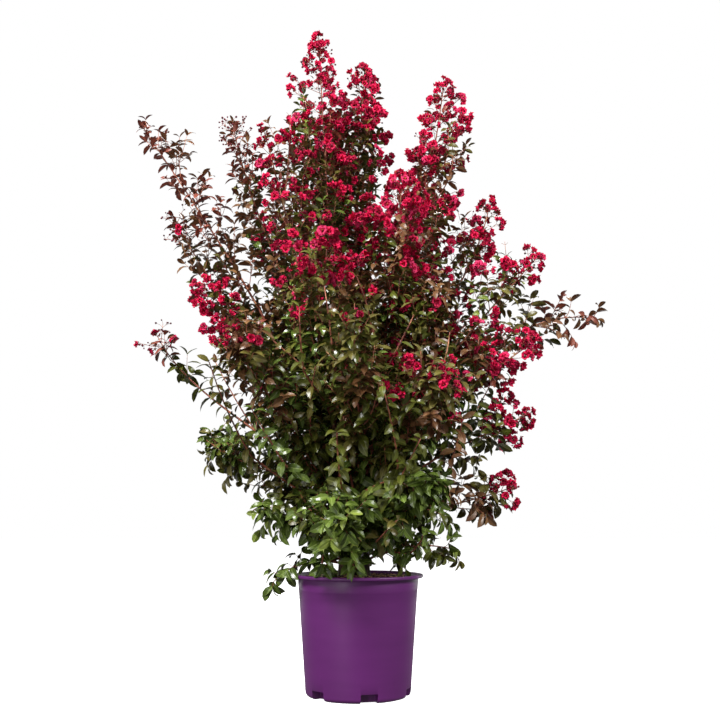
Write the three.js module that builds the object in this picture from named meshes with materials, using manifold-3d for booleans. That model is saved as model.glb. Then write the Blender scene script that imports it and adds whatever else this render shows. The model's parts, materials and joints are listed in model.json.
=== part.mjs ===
// A container-grown crape myrtle in flower: a moulded nursery pot filled with potting mix, three stems that
// rise from it, the boughs that leave the stems, and the masses of foliage and blossom that the boughs carry.
// Millimetres, +Z up. The origin is the centre of the pot's flat underside, and -Y is the front.
import * as THREE from "three";
import { mergeVertices } from "three/addons/utils/BufferGeometryUtils.js";
import Module from "manifold-3d";

const wasm = await Module();
wasm.setup();

// ---------------------------------------------------------------- driving dimensions

const CLEARANCE = 0.3; // between solids that rest on each other

const POT = {
  height: 250,
  floor: 3,
  rimRadius: 140, // outer edge of the rim
  rimThickness: 7,
  collarRadius: 131, // the stiffening band under the rim
  collarHeight: 26,
  shoulderRadius: 127, // the tapered wall just under the band
  baseRadius: 112,
  baseFillet: 9,
  wall: 2.6,
  facets: 32,
};
const DRAIN = { count: 6, first: -78, width: 36, height: 15, depth: 24 }; // notches in the foot of the wall
const MIX = { drop: 4, dishDrop: 3, level: 60 }; // the potting mix: below the rim, at its edge, flat radius

const STEM = { footRadius: 8.5, forkRadius: 6.2, flare: 4.5, flareHeight: 14, sides: 8, steps: 6 };
const BOUGH = { rootRadius: 4.8, tipRadius: 3.2, sides: 5, steps: 4 };
const SPRIG = { rootRadius: 4.4, tipRadius: 2.1, sides: 3, steps: 4, twist: 150 }; // up the middle of a mass
const TWIG = { radius: 1.2, tipRadius: 1, splay: 52 }; // splay in degrees from the sprig
const LEAF = { length: 98, width: 52, thickness: 2.6, broadest: 0.46, droop: 0.14 };
const LEAF_SPACING = 43; // along a sprig
const BLOOM = { radius: 22, reach: 30, cup: 9, spacing: 29 };

// Each stem's foot on the potting mix, where its top lies, and its height over the mix.
const STEMS = {
  left: { foot: [-32, -8], top: [-50, -18], height: 260 },
  right: { foot: [15, 2], top: [38, 4], height: 280 },
  back: { foot: [-6, 36], top: [-8, 66], height: 260 },
};

// Each shoot runs from its stem to its tip, and its row gives, in this order:
// stem: the stem that it leaves;
// leaves: the height over the potting mix where it leaves that stem;
// around: the way to its tip from the pot's axis, in degrees from +X;
// reach and height: the tip's distance from the pot's axis, and its height over the potting mix;
// aim: the tip's own direction, in degrees above the level;
// bare: the share of the shoot, from its foot, that is a bare bough. A shoot with 0 has no bough;
// spread: the radius of the mass of foliage that the rest carries;
// bloom: the share of that mass, at its tip, that is a flower panicle.
const COLUMNS = ["stem", "leaves", "around", "reach", "height", "aim", "bare", "spread", "bloom"];
const SHOOTS = {
  peak:             ["left",   250, 180,  95, 1253,  86, 0.36, 112,  0.5],
  peak_left:        ["left",   225, 196, 223,  992,  74, 0.36, 112, 0.36],
  small_right:      ["right",  264,   6, 311,  846,  80, 0.36,  84,  0.4],
  peak_mid:         ["back",   250,  73,  63, 1199,  84, 0.38, 104, 0.36],
  spire_right:      ["right",  270,   0, 194, 1145,  84, 0.36, 116, 0.46],
  centre_panicle:   ["right",  250, -51, 155,  867,  80, 0.34, 112,  0.5],
  long_left:        ["left",   200, 180, 518, 1061,  56,  0.3,  84,    0],
  left_top:         ["left",   175, 172, 440,  832,  62, 0.34,  92,  0.2],
  thin_left:        ["back",   220, 176, 298, 1065,  80, 0.42,  86,  0.2],
  back_peak:        ["back",   236, 106, 250, 1080,  76, 0.36, 118, 0.34],
  back_right:       ["right",  226,  52, 300,  960,  68, 0.36, 120, 0.34],
  back_left:        ["back",   195, 136, 345,  880,  64, 0.36, 120,  0.3],
  front_panicle:    ["left",   178, 251, 270,  670,  68,  0.3, 120, 0.24],
  right_upper:      ["right",  205,  -3, 417,  726,  48, 0.36, 104, 0.26],
  right_arm:        ["right",  182,   4, 565,  569, -14, 0.34,  72,    0],
  right_cluster:    ["right",  160, -10, 407,  510,  34,  0.3, 106, 0.44],
  left_upper:       ["left",   155, 184, 381,  640,  56, 0.34, 116, 0.36],
  left_open:        ["left",   130, 179, 464,  505,  50,  0.3,  74,  0.2],
  right_low:        ["right",  132,   2, 387,  359,  26,    0, 110, 0.26],
  front_left:       ["left",   108, 222, 340,  480,  46,    0, 124, 0.08],
  front_mid:        ["right",  116, 268, 330,  470,  54,    0, 124,    0],
  front_right:      ["right",   92, 302, 320,  400,  42,    0, 124, 0.14],
  rear_left:        ["back",   150, 152, 420,  580,  44,    0, 124, 0.14],
  rear_mid:         ["back",   130,  95, 405,  640,  50,    0, 124, 0.14],
  rear_right:       ["back",   106,  38, 410,  560,  44,    0, 124, 0.14],
  heart_front:      ["left",   256, 268, 100,  620,  84,    0, 110,    0],
  heart_back:       ["back",   256,  95, 150,  640,  84,    0, 110,    0],
  heart_left:       ["left",   240, 185, 190,  600,  76,    0, 110,    0],
  heart_right:      ["right",  236, -30, 190,  600,  76,    0, 110,    0],
  left_low:         ["left",    80, 180, 356,  304,  22,    0, 110,    0],
  left_foot:        ["left",    48, 200, 214,  100,  -4,    0,  88,    0],
  pot_edge:         ["left",    26, 192, 206,  -34, -58,    0,  64,    0],
  low_panicle:      ["right",   62,   0, 352,  181,  22,    0,  88,  0.2],
  right_foot:       ["right",   30, 349, 230,   36, -16,    0,  80,    0],
  front_low:        ["left",    34, 258, 215,  130,  12,    0, 100,    0],
  front_right_low:  ["right",   46, 306, 240,  190,  20,    0, 100,    0],
  rear_low:         ["back",    50,  84, 235,  175,  18,    0, 106,    0],
};

const COLOURS = {
  pot: { color: "#5b2a66", roughness: 0.42, metalness: 0 },
  mix: { color: "#4a3527", roughness: 0.95, metalness: 0 },
  bark: { color: "#5f4536", roughness: 0.85, metalness: 0 },
  foliage: { color: "#3f5a2a", roughness: 0.5, metalness: 0 },
  bronze: { color: "#5a4432", roughness: 0.5, metalness: 0 },
  blossom: { color: "#c01f4c", roughness: 0.6, metalness: 0 },
};

const GOLDEN_ANGLE = 137.508; // degrees between one twig and the next round a stem
const UP = new THREE.Vector3(0, 0, 1);
const mixTop = POT.height - MIX.drop;

// ---------------------------------------------------------------- small tools

// A repeatable random number from 0 to 1 (mulberry32).
function randomFrom(seed) {
  let state = seed >>> 0;
  return () => {
    state = (state + 0x6d2b79f5) >>> 0;
    let t = state;
    t = Math.imul(t ^ (t >>> 15), t | 1);
    t ^= t + Math.imul(t ^ (t >>> 7), t | 61);
    return ((t ^ (t >>> 14)) >>> 0) / 4294967296;
  };
}

const vec = (x, y, z) => new THREE.Vector3(x, y, z);
const radians = THREE.MathUtils.degToRad;
const towards = (degrees) => vec(Math.cos(radians(degrees)), Math.sin(radians(degrees)), 0);

function solidFrom(geometry) {
  const bare = geometry.index ? geometry.toNonIndexed() : geometry.clone();
  bare.deleteAttribute("normal");
  bare.deleteAttribute("uv");
  const merged = mergeVertices(bare, 1e-4);
  return new wasm.Manifold(
    new wasm.Mesh({
      numProp: 3,
      vertProperties: new Float32Array(merged.attributes.position.array),
      triVerts: new Uint32Array(merged.index.array),
    }),
  );
}

function geometryFrom(solid) {
  const { numProp, numVert, vertProperties, triVerts } = solid.getMesh();
  const positions = new Float32Array(numVert * 3);
  for (let i = 0; i < numVert; i++) {
    positions.set(vertProperties.subarray(i * numProp, i * numProp + 3), i * 3);
  }
  const geometry = new THREE.BufferGeometry();
  geometry.setAttribute("position", new THREE.BufferAttribute(positions, 3));
  geometry.setIndex(new THREE.BufferAttribute(new Uint32Array(triVerts), 1));
  const faceted = geometry.toNonIndexed();
  faceted.computeVertexNormals();
  return faceted;
}

// A closed solid from corner points and the triangles between them.
function solidFromFaces(points, faces) {
  return new wasm.Manifold(
    new wasm.Mesh({
      numProp: 3,
      vertProperties: new Float32Array(points.flatMap((p) => [p.x, p.y, p.z])),
      triVerts: new Uint32Array(faces.flat()),
    }),
  );
}

const largestPiece = (solid) => solid.decompose().sort((a, b) => b.volume() - a.volume())[0];

// Two directions square to a limb's own direction. The first is as near as it can be to the reference
// direction, so that the rings of sides along a limb line up.
function acrossFrame(direction, reference) {
  const side = reference.clone().addScaledVector(direction, -reference.dot(direction)).normalize();
  return { side, other: direction.clone().cross(side) };
}

// A tapering limb with flat ends along a curve, from share `from` to share `to` of its length. Its sides turn
// by `twist` degrees from end to end. With level set, its foot is cut level instead of square to the limb.
function limb(curve, radiusAt, { sides, steps, reference, from = 0, to = 1, extra = 0, twist = 0, level }) {
  const points = [];
  const faces = [];
  for (let step = 0; step <= steps; step++) {
    const share = from + ((to - from) * step) / steps;
    const direction = level && step === 0 ? UP : curve.getTangent(share);
    const { side, other } = acrossFrame(direction, reference);
    const radius = radiusAt(share) + extra;
    for (let k = 0; k < sides; k++) {
      const angle = (2 * Math.PI * k) / sides + radians((twist * step) / steps);
      points.push(
        curve
          .getPoint(share)
          .addScaledVector(side, radius * Math.cos(angle))
          .addScaledVector(other, radius * Math.sin(angle)),
      );
    }
    for (let k = 0; k < sides && step > 0; k++) {
      const a = (step - 1) * sides + k;
      const b = (step - 1) * sides + ((k + 1) % sides);
      faces.push([a, b, b + sides], [a, b + sides, a + sides]);
    }
  }
  const last = steps * sides;
  for (let k = 1; k < sides - 1; k++) {
    faces.push([0, k + 1, k], [last, last + k, last + k + 1]);
  }
  return solidFromFaces(points, faces);
}

// ---------------------------------------------------------------- pot and potting mix

// The wall's outer radius at a height, between the foot's fillet and the band under the rim.
const bandFoot = POT.height - POT.rimThickness - POT.collarHeight;
const wallRadius = (z) =>
  THREE.MathUtils.mapLinear(z, POT.baseFillet, bandFoot, POT.baseRadius, POT.shoulderRadius);
const mouthRadius = POT.collarRadius - POT.wall + 1;

function pot() {
  const { height, floor, rimRadius, rimThickness, collarRadius, baseRadius, baseFillet, wall, facets } = POT;
  const rimFoot = height - rimThickness;
  const lipRound = 2;
  const profile = [
    [0, 0],
    [baseRadius - baseFillet, 0],
    [baseRadius - baseFillet * 0.3, baseFillet * 0.3],
    [baseRadius, baseFillet],
    [wallRadius(bandFoot), bandFoot],
    [collarRadius - 1, bandFoot + 3],
    [collarRadius, rimFoot - 2],
    [rimRadius, rimFoot],
    [rimRadius, height - lipRound],
    [rimRadius - lipRound, height],
    [mouthRadius, height],
    [wallRadius(bandFoot) - wall, bandFoot],
    [baseRadius - wall, baseFillet],
    [baseRadius - baseFillet, floor],
    [0, floor],
  ].map(([r, z]) => new THREE.Vector2(r, z));
  const shell = solidFrom(new THREE.LatheGeometry(profile, facets).rotateX(Math.PI / 2));
  const notches = Array.from({ length: DRAIN.count }, (_, i) => {
    const notch = new THREE.BoxGeometry(DRAIN.depth * 2, DRAIN.width, DRAIN.height * 2);
    notch.translate(baseRadius, 0, 0);
    notch.rotateZ(radians(DRAIN.first + (360 * i) / DRAIN.count));
    return solidFrom(notch);
  });
  return shell.subtract(wasm.Manifold.union(notches));
}

// The mix fills the pot inside its wall, from the floor to just below the rim.
function pottingMix() {
  const floor = POT.floor + CLEARANCE;
  const gap = POT.wall + CLEARANCE * 2;
  const edgeTop = mixTop - MIX.dishDrop;
  const mouthShare = (edgeTop - bandFoot) / (POT.height - bandFoot);
  const edgeRadius = THREE.MathUtils.lerp(wallRadius(bandFoot) - POT.wall, mouthRadius, mouthShare);
  const profile = [
    [0, floor],
    [POT.baseRadius - POT.baseFillet - CLEARANCE * 2, floor],
    [POT.baseRadius - gap, POT.baseFillet + CLEARANCE],
    [wallRadius(bandFoot) - gap, bandFoot],
    [edgeRadius - CLEARANCE * 2, edgeTop],
    [MIX.level, mixTop],
    [0, mixTop],
  ].map(([r, z]) => new THREE.Vector2(r, z));
  return solidFrom(new THREE.LatheGeometry(profile, POT.facets).rotateX(Math.PI / 2));
}

// ---------------------------------------------------------------- stems, boughs and the line of each shoot

function stemCurve({ foot, top, height }) {
  const start = vec(...foot, mixTop + CLEARANCE);
  const end = vec(...top, mixTop + height);
  const belly = start.clone().lerp(end, 0.5).add(vec((foot[0] - top[0]) * 0.2, (foot[1] - top[1]) * 0.2, 0));
  return new THREE.QuadraticBezierCurve3(start, belly, end);
}

function stemRadius(height) {
  return (share) =>
    THREE.MathUtils.lerp(STEM.footRadius, STEM.forkRadius, share) +
    STEM.flare * Math.exp((-share * height) / STEM.flareHeight);
}

const boughRadius = (bare) => (share) =>
  THREE.MathUtils.lerp(BOUGH.rootRadius, BOUGH.tipRadius, Math.min(1, share / Math.max(bare, 0.01)));

// A shoot climbs as it leaves its stem, then bends to the direction that its tip aims in.
function shootCurve(shoot, stems) {
  const start = stems[shoot.stem].getPoint(Math.min(1, shoot.leaves / STEMS[shoot.stem].height));
  const tip = towards(shoot.around).multiplyScalar(shoot.reach).setZ(mixTop + shoot.height);
  const run = tip.clone().sub(start);
  const length = run.length();
  const out = vec(run.x, run.y, 0).normalize();
  const leaving = run.clone().normalize().lerp(UP, 0.35).normalize();
  const arriving = out.multiplyScalar(Math.cos(radians(shoot.aim))).setZ(Math.sin(radians(shoot.aim)));
  return new THREE.CubicBezierCurve3(
    start,
    start.clone().addScaledVector(leaving, length * 0.34),
    tip.clone().addScaledVector(arriving, -length * 0.34),
    tip,
  );
}

// ---------------------------------------------------------------- leaves, blooms and twigs

// Turns (along, across, above) in a leaf's own frame into a point.
function framePoint(root, direction, normal, along, across, above) {
  const side = normal.clone().cross(direction).normalize();
  return root
    .clone()
    .addScaledVector(direction, along)
    .addScaledVector(side, across)
    .addScaledVector(normal, above);
}

// A leaf of six faces: a pointed blade that is thickest along its middle and bends down across its broadest
// part. `skip` starts the blade that far along, for a test of the part that stands clear of its twig.
function leafPoints(root, direction, normal, length, skip = 0) {
  const half = (LEAF.width / 2) * (length / LEAF.length);
  const broad = length * LEAF.broadest;
  const at = (...where) => framePoint(root, direction, normal, ...where);
  return [
    at(skip, 0, 0),
    at(broad, half, 0),
    at(length, 0, -length * LEAF.droop),
    at(broad, -half, 0),
    at(broad, 0, LEAF.thickness),
  ];
}
const LEAF_FACES = [[1, 0, 4], [2, 1, 4], [3, 2, 4], [0, 3, 4], [0, 1, 3], [1, 2, 3]];

// A bloom: six rim points that rise and fall round its crown, and three ridges that run back to its root.
function bloomPoints(root, direction, turn, reach, skip = 0) {
  const { side, other } = acrossFrame(direction, Math.abs(direction.z) < 0.9 ? UP : vec(1, 0, 0));
  const rim = Array.from({ length: 6 }, (_, k) => {
    const angle = turn + (k * Math.PI) / 3;
    const radius = BLOOM.radius * (k % 2 ? 1 : 0.86);
    return root
      .clone()
      .addScaledVector(direction, reach - (k % 2 ? 0 : BLOOM.cup))
      .addScaledVector(side, radius * Math.cos(angle))
      .addScaledVector(other, radius * Math.sin(angle));
  });
  const foot = root.clone().addScaledVector(direction, skip);
  return [...rim, foot, root.clone().addScaledVector(direction, reach + 4)];
}
const BLOOM_FACES = [0, 2, 4].flatMap((k) => [
  [k, k + 1, 7],
  [k + 1, (k + 2) % 6, 7],
  [k + 1, k, (k + 2) % 6],
  [(k + 2) % 6, k, 6],
]);

// ---------------------------------------------------------------- the space of each mass

// How wide a mass is along its own length, as a share of its spread: narrow at its root and at its tip.
const girth = (share) => 0.4 + 0.6 * Math.sin(Math.PI * Math.min(1, share * 0.8 + 0.14));

// A point's distance from a mass's middle line, as a share of the mass's radius there.
function depthIn(mass, point) {
  let nearest = Infinity;
  const { line } = mass;
  const hop = vec(0, 0, 0);
  for (let i = 1; i < line.length; i++) {
    hop.subVectors(line[i], line[i - 1]);
    const offset = point.clone().sub(line[i - 1]);
    const along = THREE.MathUtils.clamp(offset.dot(hop) / hop.lengthSq(), 0, 1);
    const gap = offset.addScaledVector(hop, -along).length();
    nearest = Math.min(nearest, gap / (mass.spread * girth((i - 1 + along) / (line.length - 1))));
  }
  return nearest;
}

// True where every point lies in the mass's own space: in its spread, and deeper in it than in any other mass.
function keepsToSpace(mass, masses, points) {
  return points.every((point) => {
    const own = depthIn(mass, point);
    return own < 1.12 && masses.every((other) => other === mass || depthIn(other, point) > own);
  });
}

// ---------------------------------------------------------------- a mass of foliage

// Each leaf, twig and bloom tries several places round its sprig, and takes the first one with room.
const TRIES = 9;
const KEEP_OFF = 0.6; // the least gap between two leaves or blooms of one mass

// The sprig of a mass: its solid, the shares of the mass that it starts and ends at, and its middle line,
// which is straight from ring to ring.
function sprigOf({ curve, from, length, bloom, reference }) {
  const start = from > 0 ? CLEARANCE / length : 0;
  const end = 1 - (bloom > 0 ? BLOOM.reach : LEAF.length * 0.85) / length;
  const share = (t) => from + (1 - from) * t;
  const radiusAt = (s) => THREE.MathUtils.lerp(SPRIG.rootRadius, SPRIG.tipRadius, (s - from) / (1 - from));
  const centres = Array.from({ length: SPRIG.steps + 1 }, (_, i) =>
    curve.getPoint(share(THREE.MathUtils.lerp(start, end, i / SPRIG.steps))),
  );
  const solid = limb(curve, radiusAt, { ...SPRIG, reference, from: share(start), to: share(end) });
  return { start, end, centres, solid, heading: (t) => curve.getTangent(share(t)) };
}

function growMass(mass, masses, obstacles) {
  const random = randomFrom(mass.seed);
  const { length, spread, reference } = mass;
  const { start, end, centres, heading } = mass.sprig;
  const jitter = (amount) => amount * (random() * 2 - 1);
  const parts = [mass.solid];

  function at(t) {
    const place = THREE.MathUtils.clamp((t - start) / (end - start), 0, 1) * SPRIG.steps;
    const ring = Math.min(SPRIG.steps - 1, Math.floor(place));
    return centres[ring].clone().lerp(centres[ring + 1], place - ring);
  }

  // Adds a part that has room: its points keep to this mass's space, it clears what has grown of the other
  // masses, and the outer piece of it, past its root, clears the limbs and the parts of this mass.
  function place(part, outer, points) {
    const clears =
      keepsToSpace(mass, masses, points) &&
      outer.minGap(obstacles, 1.2) > 0.8 &&
      parts.every((other) => outer.minGap(other, KEEP_OFF) >= KEEP_OFF) &&
      masses.every((other) => other === mass || part.minGap(other.solid, 1.2) > 0.8);
    outer.delete();
    if (clears) parts.push(part);
    else part.delete();
    return clears;
  }

  // A direction that leaves the sprig through the middle of one of its three faces.
  function outward(t, face, splay) {
    const along = heading(t);
    const { side, other } = acrossFrame(along, reference);
    const turn = radians(60 + 120 * face + SPRIG.twist * (t - start) / (end - start) + jitter(16));
    const across = side.multiplyScalar(Math.cos(turn)).addScaledVector(other, Math.sin(turn));
    return along.multiplyScalar(Math.cos(splay)).addScaledVector(across, Math.sin(splay));
  }

  function leafAt(root, direction, size) {
    const sideways = direction.clone().cross(UP);
    const level = sideways.lengthSq() > 1e-3 ? sideways.normalize() : vec(1, 0, 0);
    const normal = level.cross(direction).normalize().applyAxisAngle(direction, radians(jitter(55)));
    const whole = leafPoints(root, direction, normal, size);
    const outer = leafPoints(root, direction, normal, size, size * 0.2);
    const blade = solidFromFaces(whole, LEAF_FACES);
    return place(blade, solidFromFaces(outer, LEAF_FACES), [whole[1], whole[3], whole[4]]);
  }

  function addLeaf(t, face) {
    for (let attempt = 0; attempt < TRIES; attempt++) {
      const size = LEAF.length * (0.92 + 0.24 * random()) * (attempt > 5 ? 0.78 : 1);
      if (leafAt(at(t + jitter(0.01)), outward(t, face + attempt, radians(58 + jitter(14))), size)) return;
    }
  }

  function bloomAt(root, direction, reach) {
    const turn = random() * 2;
    const whole = bloomPoints(root, direction, turn, reach);
    const outer = bloomPoints(root, direction, turn, reach, reach * 0.25);
    return place(solidFromFaces(whole, BLOOM_FACES), solidFromFaces(outer, BLOOM_FACES), [whole[7]]);
  }

  // A twig with something at its end and along its sides. Where there isn't room for it, a shorter is tried.
  function addTwig(t, face, longest, splay, part) {
    for (let attempt = 0; attempt < TRIES; attempt++) {
      const reach = longest * [1, 0.7, 0.45][Math.floor((attempt * 3) / TRIES)];
      const direction = outward(t, face + attempt, radians(splay + jitter(6)));
      const root = at(t);
      const line = (share) => root.clone().addScaledVector(direction, reach * share);
      const { side: above, other: across } = acrossFrame(direction, heading(t));
      const thin = (share) => THREE.MathUtils.lerp(TWIG.radius, TWIG.tipRadius, share);
      const twigLimb = (from) =>
        limb(new THREE.LineCurve3(root, line(1)), thin, { sides: 3, steps: 1, reference: above, from });
      const before = parts.length;
      if (reach < 16 || !place(twigLimb(0), twigLimb(0.3), [line(1)])) continue;
      const stick = parts.pop();
      if (!part(line(0.99), direction)) continue;
      const pairs = reach > 62 ? 2 : 1;
      for (let k = 0; k < 2 * pairs; k++) {
        const hand = k % 2 ? -1 : 1;
        const way = direction.clone().addScaledVector(across, hand * 1.25).normalize();
        part(line(0.84 - (0.56 * k) / (2 * pairs)), way);
      }
      if (parts.length < before + 2) {
        parts.length = before;
        continue;
      }
      parts.push(stick);
      return true;
    }
    return false;
  }

  // Leaves and leafy twigs up the sprig.
  const leafyEnd = Math.min(1 - mass.bloom, end * 0.97);
  const slots = Math.round((length * leafyEnd) / LEAF_SPACING);
  const leaf = (root, direction) => leafAt(root, direction, LEAF.length * (0.94 + jitter(0.1)));
  for (let i = 0; i < slots; i++) {
    const t = ((i + 0.6) / slots) * leafyEnd;
    const reach = (spread * girth(t)) / Math.sin(radians(TWIG.splay)) - LEAF.length * 0.85;
    const grown = i % 2 === 0 && addTwig(t, i, reach, TWIG.splay, leaf);
    if (!grown) addLeaf(t, i);
  }

  // The panicle: flowering twigs and blooms up the rest of the sprig, shorter towards the tip.
  if (mass.bloom > 0) {
    const bloom = (root, direction) => bloomAt(root, direction, BLOOM.reach);
    const blooms = Math.round((length * (end - leafyEnd)) / BLOOM.spacing);
    for (let i = 0; i < blooms; i++) {
      const share = (i + 0.3) / blooms;
      const t = THREE.MathUtils.lerp(leafyEnd, end, share);
      const reach = Math.min(64, spread * (0.9 - 0.8 * share));
      const grown = i % 2 === 0 && addTwig(t, i, reach, 62, bloom);
      if (!grown) bloomAt(at(t), outward(t, i, radians(66)), BLOOM.reach * 1.15);
    }
    bloomAt(at(end * 0.997), heading(end), BLOOM.reach);
  } else {
    leafAt(at(end * 0.997), heading(end), LEAF.length * 0.85);
  }
  return largestPiece(wasm.Manifold.union(parts).subtract(obstacles).simplify(0.02));
}

// ---------------------------------------------------------------- assembly

function material({ color, roughness, metalness }) {
  return new THREE.MeshStandardMaterial({ color, roughness, metalness, flatShading: true });
}

const plant = new THREE.Group();
function addNode(name, solid, finish) {
  const mesh = new THREE.Mesh(geometryFrom(solid), material(finish));
  mesh.name = name;
  plant.add(mesh);
}

const potSolid = pot();
const mixSolid = pottingMix();
addNode("pot", potSolid, COLOURS.pot);
addNode("potting_mix", mixSolid, COLOURS.mix);

// Stems first, then each bough, cut clear of every limb that is there before it.
const stems = Object.fromEntries(Object.entries(STEMS).map(([name, stem]) => [name, stemCurve(stem)]));
let limbsSoFar = potSolid.add(mixSolid);
for (const [name, stem] of Object.entries(STEMS)) {
  const shape = { sides: STEM.sides, steps: STEM.steps, reference: vec(1, 0, 0), level: true };
  addNode(`stem_${name}`, limb(stems[name], stemRadius(stem.height), shape), COLOURS.bark);
  limbsSoFar = limbsSoFar.add(limb(stems[name], stemRadius(stem.height), { ...shape, extra: CLEARANCE }));
}
const masses = [];
for (const [name, row] of Object.entries(SHOOTS)) {
  const shoot = Object.fromEntries(COLUMNS.map((column, i) => [column, row[i]]));
  const curve = shootCurve(shoot, stems);
  const from = shoot.bare;
  const reference = towards(shoot.around + 90); // level, and square to the way the shoot leans
  if (shoot.bare > 0) {
    const shape = { sides: BOUGH.sides, steps: BOUGH.steps, reference, to: shoot.bare };
    const bough = limb(curve, boughRadius(shoot.bare), shape);
    addNode(`bough_${name}`, largestPiece(bough.subtract(limbsSoFar)), COLOURS.bark);
    limbsSoFar = limbsSoFar.add(limb(curve, boughRadius(shoot.bare), { ...shape, extra: CLEARANCE }));
  }
  const line = Array.from({ length: 13 }, (_, i) => curve.getPoint(from + ((1 - from) * i) / 12));
  const length = curve.getLength() * (1 - from);
  masses.push({ ...shoot, name, curve, from, reference, line, length, seed: masses.length + 1 });
}

// Every sprig first, cut clear of the limbs, and then the mass that grows on each.
for (const mass of masses) {
  mass.sprig = sprigOf(mass);
  mass.solid = largestPiece(mass.sprig.solid.subtract(limbsSoFar));
}
for (const mass of masses) {
  const finish = mass.bloom >= 0.35 ? COLOURS.blossom : mass.height > 600 ? COLOURS.bronze : COLOURS.foliage;
  mass.solid = growMass(mass, masses, limbsSoFar);
  addNode(`foliage_${mass.name}`, mass.solid, finish);
}

export default plant;
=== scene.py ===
"""A crape myrtle in flower, grown in a nursery pot: its looks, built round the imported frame.

Metres, +Z up. The origin is the centre of the pot's flat underside, and -Y is the front.
"""

import json
from math import cos, exp, hypot, pi, radians, sin
from random import Random

import bpy
import numpy as np
from mathutils import Matrix, Vector, noise

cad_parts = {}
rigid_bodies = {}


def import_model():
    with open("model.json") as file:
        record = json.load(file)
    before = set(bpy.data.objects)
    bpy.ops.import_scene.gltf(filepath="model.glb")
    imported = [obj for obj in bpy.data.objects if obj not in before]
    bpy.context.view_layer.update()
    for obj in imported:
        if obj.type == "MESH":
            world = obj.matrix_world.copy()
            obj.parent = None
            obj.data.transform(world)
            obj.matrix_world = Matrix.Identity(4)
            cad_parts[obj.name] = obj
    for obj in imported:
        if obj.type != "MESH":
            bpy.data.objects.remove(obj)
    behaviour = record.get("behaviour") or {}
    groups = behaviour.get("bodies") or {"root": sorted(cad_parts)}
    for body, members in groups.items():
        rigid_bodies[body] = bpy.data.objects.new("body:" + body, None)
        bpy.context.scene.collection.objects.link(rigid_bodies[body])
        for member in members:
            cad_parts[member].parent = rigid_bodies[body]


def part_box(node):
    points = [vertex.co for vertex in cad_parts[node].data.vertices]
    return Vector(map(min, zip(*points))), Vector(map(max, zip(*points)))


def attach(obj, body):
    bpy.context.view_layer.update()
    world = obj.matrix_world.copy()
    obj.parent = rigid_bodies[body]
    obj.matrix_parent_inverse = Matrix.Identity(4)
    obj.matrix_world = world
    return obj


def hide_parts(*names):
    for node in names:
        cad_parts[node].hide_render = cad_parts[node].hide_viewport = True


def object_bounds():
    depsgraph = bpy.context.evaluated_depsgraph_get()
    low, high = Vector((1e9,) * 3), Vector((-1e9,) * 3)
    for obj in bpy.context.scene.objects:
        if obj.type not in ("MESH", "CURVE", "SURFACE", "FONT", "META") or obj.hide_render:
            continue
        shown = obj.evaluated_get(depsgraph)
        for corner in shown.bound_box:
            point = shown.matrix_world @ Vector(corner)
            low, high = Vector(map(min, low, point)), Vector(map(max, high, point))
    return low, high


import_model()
cad_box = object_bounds()

MM = 0.001
UP = Vector((0, 0, 1))
WHITE = (1, 1, 1, 1)
FULL_TURN = 6.283
GOLDEN_ANGLE = radians(137.508)  # between one twig and the next round a shoot

# -------------------- sizes of the pot and the mix, in millimetres

POT_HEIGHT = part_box("pot")[1].z / MM
RIM_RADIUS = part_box("pot")[1].x / MM
RIM_THICKNESS = 7
RIM_FOOT = POT_HEIGHT - RIM_THICKNESS
LIP_ROUND = 2.4
COLLAR_RADIUS = 129.6  # the stiffening band under the rim
COLLAR_HEIGHT = 26
BAND_FOOT = RIM_FOOT - COLLAR_HEIGHT
SHOULDER_RADIUS = 127.6  # the tapered wall, just under the band
BASE_RADIUS = 112
BASE_FILLET = 9
POT_WALL = 2.6
POT_FLOOR = 21  # its feet are solid to here, and the drain notches are cut into them
POT_SIDES = 144

DRAIN_COUNT = 6
DRAIN_FIRST = -78  # degrees from +X
DRAIN_WIDTH = 36
DRAIN_HEIGHT = 19
DRAIN_DEPTH = 24
DRAIN_ROUND = 2.5

MIX_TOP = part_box("potting_mix")[1].z / MM
MIX_EDGE_RADIUS = 126.5
MIX_LEVEL_RADIUS = 60  # the mix is level to here, and falls from here to its edge
MIX_DISH = 3  # how much lower the mix lies at its edge
MIX_DROP = 2  # how far the middle of its lumps lies under the source's flat top
MIX_LUMPS = ((22, 1.6), (7, 0.9))  # the width and the height of the large and the small ones
MIX_RINGS = 30

CHIP_COUNT = 1500
CHIP_SIZE = (11, 6, 2.4)
CHIP_SIZES = (0.4, 1.15)  # the least and the most, beside the usual
CHIP_BREADTHS = (0.6, 1.2)
CHIP_TILTS = (0.28, 0.2)  # how far chips lie askew along and across, in radians
CHIP_LIFT = 0.8

# -------------------- sizes of the plant, in millimetres

STEM_RADII = (8.5, 6.2)  # at its foot and at its fork
STEM_FLARE = 4.5
STEM_FLARE_HEIGHT = 14
STEM_BARK = 0.9  # the depth of the bark's relief
STEM_SIDES = 28
BOUGH_RADII = (4.8, 3.2)  # at its root and where its foliage begins
BOUGH_SWELL = 1.6  # where it leaves its stem
BOUGH_SWELL_LENGTH = 12
BOUGH_BARK = 0.45
BOUGH_SIDES = 16
BARK_FLUTES = (1.3, 60)  # how closely they follow one another round a limb, and their height
BARK_FLAKES = (3, 11)
SPRIG_RADII = (3.2, 1.1)  # a stem inside the foliage, at its root and at its tip
TWIG_RADIUS = 1.15
TWIG_TIP_RADIUS = 0.5
STALK_RADIUS = 0.42

LEAF_LENGTH = 36.5
LEAF_WIDTH = 16
TWIG_SPACING = 12  # along a shoot
NODE_SPACING = 21.5  # between the pairs of leaves on a twig
OPEN_NODE_SPACING = 31  # the same, on a shoot that stands open
TIP_NODE_SPACING = 14  # the same, at the tip of a shoot

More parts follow.
